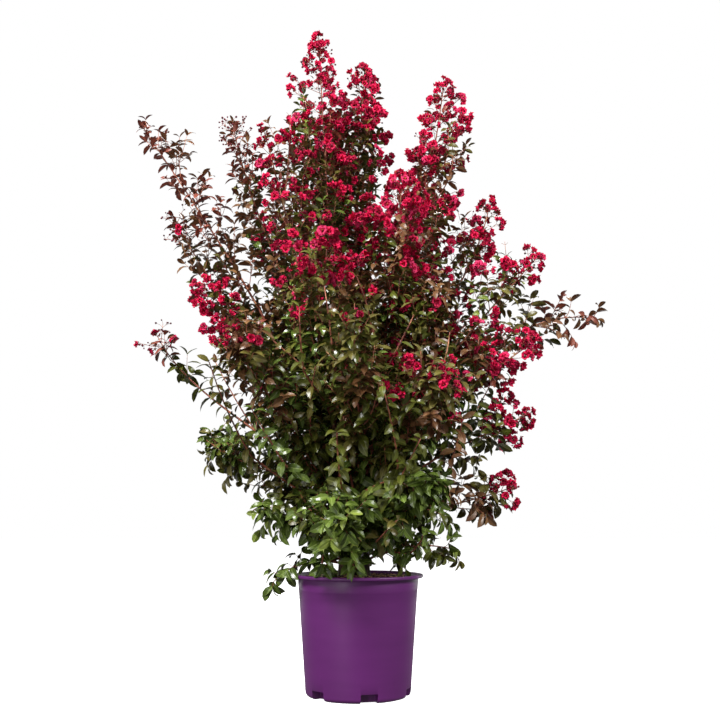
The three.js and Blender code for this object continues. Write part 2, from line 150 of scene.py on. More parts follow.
SPRIGS = 5  # upright side stems on each mass of the crown's middle
FLOWER_SPACING = 11  # between flowering twigs along a panicle
FLOWER_RADIUS = 12.5
PANICLE_SPLAY = (66, 38)  # degrees, at the foot of a panicle and at its tip
LONGEST_FLOWERING_TWIG = 70
BUD_RADIUS = 2.6
OVERHANG = 0.018  # how far past the source's own box a leaf may reach, in metres

# Each stem's foot on the potting mix, where its top lies, and its height over the mix.
STEMS = {
    "left": ((-32, -8), (-50, -18), 260),
    "right": ((15, 2), (38, 4), 280),
    "back": ((-6, 36), (-8, 66), 260),
}

# Each shoot runs from its stem to its tip, and its row gives, in this order:
# stem: the stem that it leaves;
# leaves: the height over the potting mix where it leaves that stem;
# around: the way to its tip from the pot's axis, in degrees from +X;
# reach and height: the tip's distance from the pot's axis, and its height over the potting mix;
# aim: the tip's own direction, in degrees above the level;
# bare: the share of the shoot, from its foot, that is a bare bough;
# spread: the radius of the foliage that the rest carries;
# bloom: the share of that foliage, at its tip, that is a flower panicle;
# flush: how far its leaves have turned from green to maroon;
# flowering: the share of its side twigs that end in flowers;
# fullness: how close its leafy twigs stand, beside the usual;
# opened: the share of its flowers that have opened from the bud;
# lean: how much further its twigs reach to the right than to the left.
SHOOTS = {
    "peak":            ("left",  250, 180,  95, 1253,  86, 0.36, 112, 0.50, 0.62, 0.90, 0.80, 0.66, -0.70),
    "peak_left":       ("left",  225, 196, 223,  992,  74, 0.36, 112, 0.36, 0.75, 0.85, 0.80, 0.50,  0.90),
    "small_right":     ("right", 264,   6, 311,  860,  80, 0.36,  72, 0.40, 0.75, 0.90, 0.95, 0.45, -0.45),
    "peak_mid":        ("back",  250,  73,  63, 1199,  84, 0.38, 104, 0.36, 0.50, 0.75, 1.00, 0.62, -0.20),
    "spire_right":     ("right", 270,   0, 202, 1145,  84, 0.36,  96, 0.46, 0.75, 1.00, 0.80, 0.62,  1.10),
    "centre_panicle":  ("right", 250, -51, 155,  867,  80, 0.34, 112, 0.50, 0.66, 1.00, 1.00, 0.84,  0.00),
    "long_left":       ("left",  200, 180, 508, 1030,  56, 0.30,  90, 0.00, 0.85, 0.05, 0.40, 0.00, -0.10),
    "left_top":        ("left",  175, 172, 446,  832,  62, 0.34,  98, 0.20, 0.80, 0.50, 0.40, 0.04,  0.00),
    "thin_left":       ("back",  220, 176, 298, 1052,  80, 0.40,  88, 0.20, 0.70, 0.05, 0.55, 0.02,  0.00),
    "back_peak":       ("back",  236, 106, 250, 1080,  76, 0.36, 118, 0.34, 0.70, 0.80, 1.00, 0.60,  0.00),
    "back_right":      ("right", 226,  52, 300,  960,  68, 0.36, 120, 0.34, 0.70, 0.90, 1.15, 0.60,  0.00),
    "back_left":       ("back",  195, 136, 345,  880,  64, 0.36, 120, 0.30, 0.60, 0.50, 0.95, 0.50,  0.00),
    "front_panicle":   ("left",  178, 251, 270,  670,  68, 0.30, 120, 0.24, 0.50, 0.25, 0.78, 0.80,  0.00),
    "right_upper":     ("right", 205,  -3, 407,  706,  48, 0.36,  88, 0.26, 0.30, 0.85, 0.56, 0.50,  0.00),
    "right_arm":       ("right", 182,   4, 562,  569, -14, 0.34,  78, 0.00, 0.95, 0.00, 0.54, 0.00,  0.00),
    "right_cluster":   ("right", 160, -10, 400,  510,  34, 0.30, 106, 0.44, 0.65, 0.85, 0.66, 0.75, -0.30),
    "left_upper":      ("left",  155, 184, 364,  640,  56, 0.34, 116, 0.36, 0.70, 0.90, 0.52, 0.60,  0.55),
    "left_open":       ("left",  130, 179, 458,  538,  64, 0.30,  86, 0.16, 0.74, 0.00, 0.20, 0.20,  0.00),
    "right_low":       ("right", 132,   2, 380,  352,  26, 0.00, 116, 0.26, 0.62, 0.32, 0.55, 0.65, -0.10),
    "front_left":      ("left",  108, 222, 348,  480,  46, 0.00, 124, 0.08, 0.52, 0.03, 1.00, 0.60,  0.00),
    "front_mid":       ("right", 116, 268, 330,  470,  54, 0.00, 124, 0.00, 0.55, 0.00, 0.86, 0.60,  0.00),
    "front_right":     ("right",  92, 302, 320,  400,  42, 0.00, 124, 0.14, 0.60, 0.20, 1.00, 0.60,  0.00),
    "rear_left":       ("back",  150, 152, 374,  580,  44, 0.00, 124, 0.14, 0.60, 0.05, 0.50, 0.60,  0.60),
    "rear_mid":        ("back",  130,  95, 405,  640,  50, 0.00, 124, 0.14, 0.35, 0.20, 1.00, 0.60,  0.00),
    "rear_right":      ("back",  106,  38, 410,  560,  44, 0.00, 124, 0.14, 0.62, 0.15, 1.00, 0.60,  0.00),
    "heart_front":     ("left",  256, 268, 100,  620,  84, 0.00, 110, 0.00, 0.62, 0.08, 0.80, 0.60,  0.00),
    "heart_back":      ("back",  256,  95, 150,  640,  84, 0.00, 110, 0.00, 0.60, 0.10, 1.20, 0.60,  0.00),
    "heart_left":      ("left",  240, 185, 190,  600,  76, 0.00, 110, 0.00, 0.58, 0.05, 1.20, 0.60,  0.00),
    "heart_right":     ("right", 236, -30, 190,  600,  76, 0.00, 110, 0.00, 0.62, 0.34, 1.20, 0.60,  0.00),
    "left_low":        ("left",   80, 180, 330,  284,  14, 0.00, 110, 0.00, 0.40, 0.00, 1.05, 0.60,  0.15),
    "left_foot":       ("left",   48, 200, 212,  134,  -4, 0.00,  72, 0.00, 0.00, 0.00, 0.90, 0.60,  0.00),
    "pot_edge":        ("left",   26, 192, 190,  -20, -58, 0.00,  40, 0.00, 0.10, 0.00, 1.00, 0.60,  0.00),
    "low_panicle":     ("right",  62,   0, 343,  192,  22, 0.00,  88, 0.20, 0.60, 0.00, 0.62, 0.60,  0.00),
    "right_foot":      ("right",  30, 349, 220,   54, -16, 0.00,  80, 0.00, 0.45, 0.00, 0.62, 0.60, -0.30),
    "front_low":       ("left",   34, 258, 215,  130,  12, 0.00, 100, 0.00, 0.00, 0.00, 1.15, 0.60,  0.00),
    "front_right_low": ("right",  46, 306, 240,  190,  20, 0.00, 100, 0.00, 0.05, 0.00, 1.20, 0.60,  0.00),
    "rear_low":        ("back",   50,  84, 235,  175,  18, 0.00, 106, 0.00, 0.00, 0.00, 1.20, 0.60,  0.00),
}

FOLIAGE_NODES = ["foliage_" + name for name in SHOOTS]

LEAFY_TIPS = {"peak_mid", "left_top", "thin_left"}  # shoots whose tips have outgrown their panicles

# -------------------- small tools


def towards(degrees):
    """A level direction, from an angle measured from +X."""
    return Vector((cos(radians(degrees)), sin(radians(degrees)), 0))


def lerp(a, b, share):
    return a + (b - a) * share


def climb(value, start, run):
    """How far a value has come over its run from a start, from 0 to 1."""
    return min(1, max(0, (value - start) / run))


def linear(code):
    """An sRGB hex colour as the linear colour that a shader reads."""
    channels = [int(code[i : i + 2], 16) / 255 for i in (1, 3, 5)]
    return [c / 12.92 if c <= 0.04045 else ((c + 0.055) / 1.055) ** 2.4 for c in channels] + [1]


def deselect_all():
    if bpy.context.mode != "OBJECT":
        bpy.ops.object.mode_set(mode="OBJECT")
    bpy.ops.object.select_all(action="DESELECT")


def select_only(piece):
    deselect_all()
    piece.select_set(True)
    bpy.context.view_layer.objects.active = piece


def settle(piece):
    """Puts a finished piece's place in its mesh, and leaves its object at the origin."""
    select_only(piece)
    bpy.ops.object.transform_apply(location=True, rotation=True, scale=True)


def take_shape(piece):
    """The vertices and faces of a piece, which is then removed."""
    vertices = np.array([v.co[:] for v in piece.data.vertices])
    faces = [list(p.vertices) for p in piece.data.polygons]
    bpy.data.objects.remove(piece)
    return vertices, faces


def dress(piece, material, slot, *nodes):
    """Gives a piece its finish, puts it on the root body, and hides the parts of the source that it stands
    for.
    """
    piece.data.materials.clear()
    piece.data.materials.append(material)
    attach(piece, "root")
    if nodes:
        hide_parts(*nodes)


def piece_from_arrays(name, vertices, faces, smooth=True):
    """One object from an array of vertices and a list of faces."""
    mesh = bpy.data.meshes.new(name)
    mesh.from_pydata(vertices.tolist(), [], faces)
    mesh.polygons.foreach_set("use_smooth", [smooth] * len(mesh.polygons))
    mesh.update()
    piece = bpy.data.objects.new(name, mesh)
    bpy.context.scene.collection.objects.link(piece)
    return piece


def copies_of(faces, corners, count):
    """The faces of many copies of a shape that has so many corners."""
    return [[corner + i * corners for corner in face] for i in range(count) for face in faces]


# -------------------- materials


def add_node(material, kind, inputs=None, stops=(), **settings):
    """Adds a shader node. An input takes a value, or another node or one of its outputs, which is linked to
    it. Each stop of a colour ramp is a place and an sRGB hex colour."""
    tree = material.node_tree
    node = tree.nodes.new("ShaderNode" + kind)
    for name, value in settings.items():
        setattr(node, name, value)
    for socket, value in (inputs or {}).items():
        if isinstance(value, bpy.types.Node):
            value = next(output for output in value.outputs if output.enabled)
        if isinstance(value, bpy.types.NodeSocket):
            tree.links.new(value, node.inputs[socket])
        else:
            node.inputs[socket].default_value = value
    for i, (place, code) in enumerate(stops):
        elements = node.color_ramp.elements
        element = elements[i] if i < len(elements) else elements.new(place)
        element.position = place
        element.color = linear(code)
    return node


def new_material(name):
    """An empty material, and the object's own coordinates, which its patterns follow."""
    material = bpy.data.materials.new(name)
    material.use_nodes = True
    material.node_tree.nodes.clear()
    return material, add_node(material, "TexCoord").outputs["Object"]


def noise_pattern(material, place, grain, detail=2):
    """A noise pattern that repeats at about the length of its grain, in millimetres."""
    return add_node(material, "TexNoise", {"Vector": place, "Scale": 1 / (grain * MM), "Detail": detail})


def relief_of(material, pattern, strength, depth):
    """The bumps that a pattern gives a surface, with their depth in millimetres."""
    return add_node(material, "Bump", {"Height": pattern, "Strength": strength, "Distance": depth * MM})


def finish_material(material, surface):
    shader = add_node(material, "BsdfPrincipled", surface)
    add_node(material, "OutputMaterial", {"Surface": shader})
    return material


def moulded_polypropylene():
    """Purple polypropylene, injection moulded: satin, with a fine spark texture from the mould, and faint
    bands round the wall where the melt cooled in steps."""
    material, place = new_material("moulded_polypropylene_purple")
    flattened = add_node(material, "Mapping", {"Vector": place, "Scale": (1, 1, 6)})
    bands = noise_pattern(material, flattened, 1000 / 6)
    colour = add_node(material, "ValToRGB", {"Fac": bands}, [(0.3, "#54165a"), (0.7, "#5a1a60")])
    sparks = noise_pattern(material, place, 1.6)  # drawn coarser than the mould's own, which wouldn't show
    dullness = add_node(
        material, "MapRange",
        {"Value": sparks, "From Min": 0.3, "From Max": 0.7, "To Min": 0.4, "To Max": 0.48},
    )
    relief = relief_of(material, sparks, 0.1, 0.1)
    return finish_material(
        material, {"Base Color": colour, "Roughness": dullness, "Normal": relief, "IOR": 1.49}
    )


def composted_bark(name, dark, pale):
    """Composted pine bark: matt, with flecks of pale wood about 3 mm across, and finer grit."""
    material, place = new_material(name)
    flecks = noise_pattern(material, place, 6, 4)
    colour = add_node(material, "ValToRGB", {"Fac": flecks}, [(0.34, dark), (0.56, pale), (0.72, "#b08a62")])
    relief = relief_of(material, noise_pattern(material, place, 2, 3), 0.6, 0.8)
    return finish_material(material, {"Base Color": colour, "Roughness": 0.9, "Normal": relief})


def smooth_bark(name, dark, middle, pale):
    """Crape myrtle bark: thin and smooth, peeling in long flakes that leave paler patches."""
    material, place = new_material(name)
    drawn_out = add_node(material, "Mapping", {"Vector": place, "Scale": (1, 1, 0.28)})
    flakes = noise_pattern(material, drawn_out, 9)
    colour = add_node(material, "ValToRGB", {"Fac": flakes}, [(0.36, dark), (0.54, middle), (0.66, pale)])
    relief = relief_of(material, flakes, 0.5, 0.6)
    return finish_material(material, {"Base Color": colour, "Roughness": 0.68, "Normal": relief})


def living_leaf(name, shade, light, vein, roughness):
    """A crape myrtle leaf: a waxy skin with a soft gloss, a paler midrib, and a blade that is a little
    lighter in some places than in others."""
    material, place = new_material(name)
    mottle = noise_pattern(material, place, 28, 3)
    blade = add_node(material, "ValToRGB", {"Fac": mottle}, [(0.36, shade), (0.64, light)])
    leaf_map = add_node(material, "TexCoord").outputs["UV"]
    across = add_node(material, "SeparateXYZ", {"Vector": leaf_map}).outputs["Y"]
    from_rib = add_node(material, "Math", {0: across, 1: 0.5}, operation="SUBTRACT")
    distance = add_node(material, "Math", {0: from_rib}, operation="ABSOLUTE")
    rib = add_node(
        material, "MapRange",
        {"Value": distance, "From Min": 0.02, "From Max": 0.07, "To Min": 0.4, "To Max": 0},
    )
    colour = add_node(material, "Mix", {0: rib, 6: blade, 7: linear(vein)}, data_type="RGBA")
    return finish_material(
        material, {"Base Color": colour, "Roughness": roughness, "Specular IOR Level": 0.46, "IOR": 1.45}
    )


def petal(name, deep, bright):
    """A crape myrtle petal: thin, crinkled like crepe paper, without gloss; its colour is deeper in its
    folds, which is painted shade in the hollows of its crinkles, and lighter on their crests, which is
    painted light.
    """
    material, place = new_material(name)
    crinkles_and_painted_shade = noise_pattern(material, place, 5, 3)
    # The deep colour is painted shade in the hollows of the crinkles, and the bright one is painted light on
    # their crests.
    colour = add_node(material, "ValToRGB", {"Fac": crinkles_and_painted_shade}, [(0.34, deep), (0.62, bright)])
    relief = relief_of(material, crinkles_and_painted_shade, 0.5, 0.5)
    return finish_material(
        material, {"Base Color": colour, "Roughness": 0.7, "Specular IOR Level": 0.2, "Normal": relief}
    )


# -------------------- pot


def turned_shell(name, profile, sides):
    """A round shell, drawn ring by ring: a flat disc, whose edge is extruded to each (radius, height) in
    turn, and a flat disc that closes it. The sizes are in millimetres."""
    deselect_all()
    radius, height = profile[0]
    bpy.ops.mesh.primitive_circle_add(
        vertices=sides, radius=radius * MM, fill_type="NGON", location=(0, 0, height * MM)
    )
    piece = bpy.context.object
    piece.name = name
    settle(piece)
    bpy.ops.object.mode_set(mode="EDIT")
    bpy.ops.mesh.select_mode(type="EDGE")
    bpy.ops.mesh.select_all(action="SELECT")
    bpy.ops.mesh.region_to_loop()
    for next_radius, next_height in profile[1:]:
        rise = (next_height - height) * MM
        bpy.ops.mesh.extrude_edges_move(TRANSFORM_OT_translate={"value": (0, 0, rise)})
        grow = next_radius / radius
        bpy.ops.transform.resize(value=(grow, grow, 1), center_override=(0, 0, 0))
        radius, height = next_radius, next_height
    bpy.ops.mesh.edge_face_add()
    bpy.ops.mesh.select_all(action="SELECT")
    bpy.ops.mesh.normals_make_consistent(inside=False)
    bpy.ops.object.mode_set(mode="OBJECT")
    return piece


def apply_modifier(piece, kind, **settings):
    modifier = piece.modifiers.new(kind.lower(), kind)
    for name, value in settings.items():
        setattr(modifier, name, value)
    select_only(piece)
    bpy.ops.object.modifier_apply(modifier=modifier.name)


def bevelled_block(sizes, bevel, segments):
    """A block of these sizes, in millimetres, with its edges taken off."""
    deselect_all()
    bpy.ops.mesh.primitive_cube_add(size=1)
    block = bpy.context.object
    block.scale = [size * MM for size in sizes]
    settle(block)
    bpy.ops.object.mode_set(mode="EDIT")
    bpy.ops.mesh.select_all(action="SELECT")
    bpy.ops.mesh.bevel(offset=bevel * MM, segments=segments)
    bpy.ops.object.mode_set(mode="OBJECT")
    return block


def drain_cutters():
    """Round-cornered blocks, one for each drain notch in the foot of the wall."""
    cutters = bpy.data.collections.new("drain cutters")
    bpy.context.scene.collection.children.link(cutters)
    for i in range(DRAIN_COUNT):
        block = bevelled_block((DRAIN_DEPTH * 2, DRAIN_WIDTH, DRAIN_HEIGHT * 2), DRAIN_ROUND, 3)
        block.location = (BASE_RADIUS * MM, 0, 0)
        settle(block)
        block.rotation_euler.z = radians(DRAIN_FIRST + 360 * i / DRAIN_COUNT)
        settle(block)
        for holder in block.users_collection:
            holder.objects.unlink(block)
        cutters.objects.link(block)
    return cutters


def wall_radius(height):
    """The outer radius of the tapered wall."""
    return lerp(BASE_RADIUS, SHOULDER_RADIUS, (height - BASE_FILLET) / (BAND_FOOT - BASE_FILLET))


def make_pot():
    """Its profile runs from the underside up the outside, over the lip and down the inside."""
    mouth_radius = COLLAR_RADIUS - POT_WALL + 2
    fillet = [
        (BASE_RADIUS - BASE_FILLET * (1 - sin(turn)), BASE_FILLET * (1 - cos(turn)))
        for turn in np.linspace(0, pi / 2, 7)
    ]
    lip = [
        (RIM_RADIUS - LIP_ROUND * (1 - cos(turn)), POT_HEIGHT - LIP_ROUND * (1 - sin(turn)))
        for turn in np.linspace(0, pi / 2, 6)
    ]
    wall = [(wall_radius(height), height) for height in np.linspace(BASE_FILLET, BAND_FOOT, 9)[1:]]
    profile = [
        *fillet,
        *wall,
        (COLLAR_RADIUS - 1.7, BAND_FOOT + 0.8),
        (COLLAR_RADIUS - 1.6, BAND_FOOT + 2),
        (COLLAR_RADIUS - 0.4, RIM_FOOT - 9),
        (COLLAR_RADIUS - 0.6, RIM_FOOT - 8),
        (COLLAR_RADIUS, RIM_FOOT - 1),
        (COLLAR_RADIUS + 0.6, RIM_FOOT - 0.3),
        (COLLAR_RADIUS + 1.6, RIM_FOOT),
        (RIM_RADIUS - 1, RIM_FOOT + 0.6),
        (RIM_RADIUS - 0.2, RIM_FOOT + 1.4),
        *lip,
        (mouth_radius + 1.5, POT_HEIGHT),
        (mouth_radius, POT_HEIGHT - 1.8),
        (wall_radius(BAND_FOOT) - POT_WALL, BAND_FOOT),
        (wall_radius(POT_FLOOR) - POT_WALL, POT_FLOOR),
    ]
    pot = turned_shell("nursery_pot", profile, POT_SIDES)
    cutters = drain_cutters()
    apply_modifier(pot, "BOOLEAN", operand_type="COLLECTION", collection=cutters, solver="EXACT")
    for block in list(cutters.objects):
        bpy.data.objects.remove(block)
    bpy.data.collections.remove(cutters)
    apply_modifier(
        pot, "BEVEL", width=0.5 * MM, segments=2, limit_method="ANGLE", angle_limit=radians(40)
    )
    bpy.ops.object.shade_smooth_by_angle(angle=radians(35))
    dress(pot, moulded_polypropylene(), "pot", "pot")


# -------------------- potting mix


def mix_height(x, y):
    """The height of the mix's rough top, in metres: level in the middle and lower at its edge."""
    radius = hypot(x, y) / MM
    dish = MIX_DISH * climb(radius, MIX_LEVEL_RADIUS, MIX_EDGE_RADIUS - MIX_LEVEL_RADIUS)
    lumps = [
        noise.noise(Vector((x, y, layer)) / (width * MM)) * height
        for layer, (width, height) in enumerate(MIX_LUMPS)
    ]
    return (MIX_TOP - MIX_DROP - dish + sum(lumps)) * MM


def make_mix():
    """The root ball: it fills the pot, and its top is drawn in rings close enough for its lumps."""
    gap = POT_WALL + 0.6
    rings = [lerp(MIX_EDGE_RADIUS, 3, i / MIX_RINGS) for i in range(MIX_RINGS + 1)]
    profile = [
        (wall_radius(POT_FLOOR) - gap, POT_FLOOR + 0.3),
        (wall_radius(BAND_FOOT) - gap, BAND_FOOT),
        *((radius, MIX_TOP - MIX_DISH) for radius in rings),
    ]
    mix = turned_shell("potting_mix_top", profile, 120)
    for vertex in mix.data.vertices:
        if vertex.co.z > (MIX_TOP - MIX_DISH - 1) * MM:
            vertex.co.z = mix_height(vertex.co.x, vertex.co.y)
    select_only(mix)
    bpy.ops.object.shade_smooth_by_angle(angle=radians(40))
    dress(mix, composted_bark("composted_bark_fines", "#24180f", "#5e432f"), "potting_mix", "potting_mix")


def bark_chip(seed):
    """One flake of bark: a block, thinned, pinched and roughened."""
    chip = bevelled_block(CHIP_SIZE, 0.9, 1)
    bpy.ops.object.mode_set(mode="EDIT")
    bpy.ops.mesh.select_all(action="SELECT")
    bpy.ops.transform.vertex_random(offset=1.1 * MM, seed=seed)
    bpy.ops.object.mode_set(mode="OBJECT")
    return take_shape(chip)


def stamp(name, template, frames, smooth=True):
    """Joins a copy of the template for each frame, a 4 by 4 matrix, into one piece."""
    vertices, faces = template
    frames = np.array(frames)
    placed = np.einsum("mij,nj->mni", frames[:, :3, :3], vertices) + frames[:, None, :3, 3]
    joined = copies_of(faces, len(vertices), len(frames))
    return piece_from_arrays(name, placed.reshape(-1, 3), joined, smooth)


def make_chips():
    """Bark chips of three shades, which lie in the top of the mix."""
    random = Random(11)
    edge = MIX_EDGE_RADIUS - 4
    shades = [("#3a2518", "#8e684a"), ("#7a553a", "#cca67e"), ("#241810", "#5a4230")]
    for kind, (dark, pale) in enumerate(shades):
        frames = []
        while len(frames) < CHIP_COUNT // len(shades):
            x, y = (random.uniform(-1, 1) * edge * MM for _ in range(2))
            if hypot(x, y) > edge * MM:
                continue
            size = random.uniform(*CHIP_SIZES)
            turn = Matrix.Rotation(random.uniform(0, FULL_TURN), 4, "Z")
            tilt, roll = (Matrix.Rotation(random.gauss(0, CHIP_TILTS[i]), 4, "XY"[i]) for i in range(2))
            place = Matrix.Translation((x, y, mix_height(x, y) + CHIP_LIFT * MM))
            sizes = Matrix.Diagonal((size, size * random.uniform(*CHIP_BREADTHS), size, 1))
            frames.append(place @ turn @ (tilt @ roll) @ sizes)
        chips = stamp(f"bark_chips_{kind + 1}", bark_chip(kind), frames, smooth=False)
        dress(chips, composted_bark(f"pine_bark_chip_{kind + 1}", dark, pale), "potting_mix")


# -------------------- lines of the stems and shoots

STEM_BELLY = 0.2  # how far a stem bows, as a share of its lean
LEAVING_UP = 0.35  # how far a shoot leaves its stem upwards, rather than straight to its tip
CURVE_PULL = 0.34  # how far along it a shoot keeps the direction of each end
LINE_HOPS = 12
OPEN_FULLNESS = 0.56  # a shoot with fewer twigs than this stands open
SLIMMEST = 0.4  # the least breadth of a shoot's foliage, as a share of its spread
SPACE_SLACK = 0.06  # how far a twig may stray out of its shoot's space, as a share of its spread


def bezier(points, share):
    """A point on a Bezier curve of any degree."""
    while len(points) > 1:
        points = [a.lerp(b, share) for a, b in zip(points, points[1:])]
    return points[0]


def stem_line(name):
    """The three points that a stem's curve follows, in metres."""
    foot, top, height = STEMS[name]
    start = Vector((*foot, MIX_TOP + 0.3)) * MM
    end = Vector((*top, MIX_TOP + height)) * MM
    belly = Vector(((foot[0] - top[0]) * STEM_BELLY, (foot[1] - top[1]) * STEM_BELLY, 0)) * MM
    return [start, start.lerp(end, 0.5) + belly, end]


def girth(share):
    """How wide a shoot's foliage is along its length, as a share of its spread."""
    return SLIMMEST + (1 - SLIMMEST) * np.sin(pi * np.minimum(1, share * 0.8 + 0.14))


class Shoot:
    """A shoot's curve, and the part of it that carries foliage, from share 0 at the bough's tip to 1."""

    def __init__(self, name, row):
        (self.stem, leaves, around, reach, height, aim, self.bare, spread, self.bloom, self.flush,
         self.flowering, self.fullness, self.opened, self.lean) = row
        self.name = name
        self.spread = spread * MM
        stem_height = STEMS[self.stem][2]
        start = bezier(stem_line(self.stem), min(1, leaves / stem_height))
        tip = (towards(around) * reach + UP * (MIX_TOP + height)) * MM
        run = tip - start
        out = Vector((run.x, run.y, 0)).normalized()
        leaving = run.normalized().lerp(UP, LEAVING_UP).normalized()
        arriving = out * cos(radians(aim)) + UP * sin(radians(aim))
        pull = run.length * CURVE_PULL
        self.curve = [start, start + leaving * pull, tip - arriving * pull, tip]
        self.line = [self.at(i / LINE_HOPS) for i in range(LINE_HOPS + 1)]
        self.length = sum((b - a).length for a, b in zip(self.line, self.line[1:]))
        self.random = Random(name)
        self.across = towards(around + 90)
        self.open = self.fullness < OPEN_FULLNESS
        self.node_spacing = (OPEN_NODE_SPACING if self.open else NODE_SPACING) * MM

    def at(self, share):
        return bezier(self.curve, lerp(self.bare, 1, share))

    def heading(self, share):
        low, high = max(0, share - 0.01), min(1, share + 0.01)
        return (self.at(high) - self.at(low)).normalized()


SHOOT_LIST = [Shoot(name, row) for name, row in SHOOTS.items()]
LINES = np.array([[point[:] for point in shoot.line] for shoot in SHOOT_LIST])
LINE_STARTS = LINES[:, :-1]
HOPS = LINES[:, 1:] - LINES[:, :-1]
HOP_SQUARES = (HOPS**2).sum(axis=2)
HOP_NUMBERS = np.arange(LINE_HOPS)
SPREADS = np.array([shoot.spread for shoot in SHOOT_LIST])


def depths(point):
    """How far a point lies from each shoot's line, as a share of the shoot's spread there."""
    offset = np.array(point) - LINE_STARTS
    along = np.clip((offset * HOPS).sum(axis=2) / HOP_SQUARES, 0, 1)
    gap = np.linalg.norm(offset - along[..., None] * HOPS, axis=2)
    width = SPREADS[:, None] * girth((HOP_NUMBERS + along) / LINE_HOPS)
    return (gap / width).min(axis=1)


def keeps_to_space(shoot, point):
    """True where a point lies within the shoot's spread, and no deeper in another's space than in its own."""
    shares = depths(point)
    own = shares[SHOOT_LIST.index(shoot)]
    return own < 1 + SPACE_SLACK and own <= shares.min() + SPACE_SLACK


def within_box(point):
    """True where a point lies inside the source's own box, or no further past it than a leaf may reach."""
    lowest, highest = cad_box
    return all(lowest[i] - OVERHANG < point[i] < highest[i] + OVERHANG for i in range(3))


# -------------------- bark: stems and boughs


def tube(points, radii, sides, relief=None):
    """The vertices of a round limb, ring by ring, and its faces, with its ends closed. The relief is a height
    over the limb's skin for each ring and side."""
    points = np.array([p[:] for p in points])
    ways = np.gradient(points, axis=0)
    ways /= np.linalg.norm(ways, axis=1)[:, None]
    middle = ways.sum(axis=0)
    reference = np.cross(middle, (0, 0, 1) if abs(middle[2]) < 0.9 * np.linalg.norm(middle) else (0, 1, 0))
    side = reference - (ways @ reference)[:, None] * ways
    side /= np.linalg.norm(side, axis=1)[:, None]
    other = np.cross(ways, side)
    angles = np.arange(sides) * 2 * pi / sides
    radius = np.array(radii)[:, None] + (relief if relief is not None else 0)
    rings = points[:, None] + radius[..., None] * (
        np.cos(angles)[:, None] * side[:, None] + np.sin(angles)[:, None] * other[:, None]
    )
    count = len(points)
    faces = []
    for ring in range(count - 1):
        for k in range(sides):
            a, b = ring * sides + k, ring * sides + (k + 1) % sides
            faces.append([a, b, b + sides, a + sides])
    foot, top = count * sides, count * sides + 1
    for k in range(sides):
        faces.append([foot, (k + 1) % sides, k])
        faces.append([top, (count - 1) * sides + k, (count - 1) * sides + (k + 1) % sides])
    return np.vstack([rings.reshape(-1, 3), points[0], points[-1]]), faces


def bark_relief(points, sides, seed, depth):
    """Low flutes that wander up a limb, and flakes of loose bark between them."""
    relief = np.zeros((len(points), sides))
    for i, point in enumerate(points):
        for k in range(sides):
            angle = 2 * pi * k / sides
            flute, flake = (
                noise.noise(Vector((cos(angle) * turns, sin(angle) * turns, point.z / (height * MM) + seed)))
                for turns, height in (BARK_FLUTES, BARK_FLAKES)
            )
            relief[i, k] = depth * (flute + 0.5 * max(0, flake))
    return relief


def limb_line(curve, reach, count, length, ends, swell, fade):
    """Points up a curve as far as a share of it, and the limb's radius at each: it tapers from one end to the
    other, and swells at its root."""
    shares = [i / count for i in range(count + 1)]
    points = [bezier(curve, share * reach) for share in shares]
    radii = [(lerp(*ends, share) + swell * exp(-share * length / fade)) * MM for share in shares]
    return points, radii


def make_limb(kind, name, points, radii, sides, seed, depth, material):
    relief = bark_relief(points, sides, seed, depth * MM)
    vertices, faces = tube(points, radii, sides, relief)
    limb = piece_from_arrays(f"{kind}_{name}_bark", vertices, faces)
    dress(limb, material, f"{kind}_bark", f"{kind}_{name}")


def make_stem(name, seed, material):
    height = STEMS[name][2]
    points, radii = limb_line(stem_line(name), 1, 90, height, STEM_RADII, STEM_FLARE, STEM_FLARE_HEIGHT)
    points.insert(0, points[0] - UP * 2 * MM)
    radii.insert(0, radii[0])
    make_limb("stem", name, points, radii, STEM_SIDES, seed, STEM_BARK, material)


def make_bough(shoot, seed, material):
    """A bough, from inside its stem to where its foliage begins."""
    length = shoot.length * shoot.bare / (1 - shoot.bare)
    count = max(24, round(length / (4 * MM)))
    fade = BOUGH_SWELL_LENGTH * MM
    points, radii = limb_line(shoot.curve, shoot.bare, count, length, BOUGH_RADII, BOUGH_SWELL, fade)
    make_limb("bough", shoot.name, points, radii, BOUGH_SIDES, seed, BOUGH_BARK, material)


def make_wood():
    stem_bark = smooth_bark("crape_myrtle_bark_old", "#33231b", "#5d4436", "#8b6a52")
    bough_bark = smooth_bark("crape_myrtle_bark_young", "#4a2a20", "#6f4535", "#9a7058")
    for seed, name in enumerate(STEMS):
        make_stem(name, seed * 7.0, stem_bark)
    for seed, shoot in enumerate(SHOOT_LIST):
        if shoot.bare > 0:
            make_bough(shoot, seed * 5.0, bough_bark)


# -------------------- growth: twigs, leaves, flowers and buds, in millimetres

twigs = []  # (points, radii) of each green or red twig
leaves = {}  # for each tint: (root, along, above, length, width, curl)
flowers = []  # (root, facing, turn, size, openness)
buds = []  # (centre, facing, size)

TINTS = ["deep_green", "mid_green", "olive", "bronze", "maroon"]  # from green to fully flushed
TINT_CLIMB = (0.45, 0.6)  # the height in metres where leaves begin to flush, and that over which they do
FLUSH_SHARES = (0.14, 0.25, 0.6)  # how much of a shoot's flush shows anywhere, high up, and at its tip
HIGH_FLUSH = 0.16  # how far any leaf flushes high up
FLUSH_SCATTER = 0.19
FRESH_SHARE = 0.08
GOLD_SHARE = 0.005
GOLD_TOP = 0.6  # no leaf turns gold over this height in metres

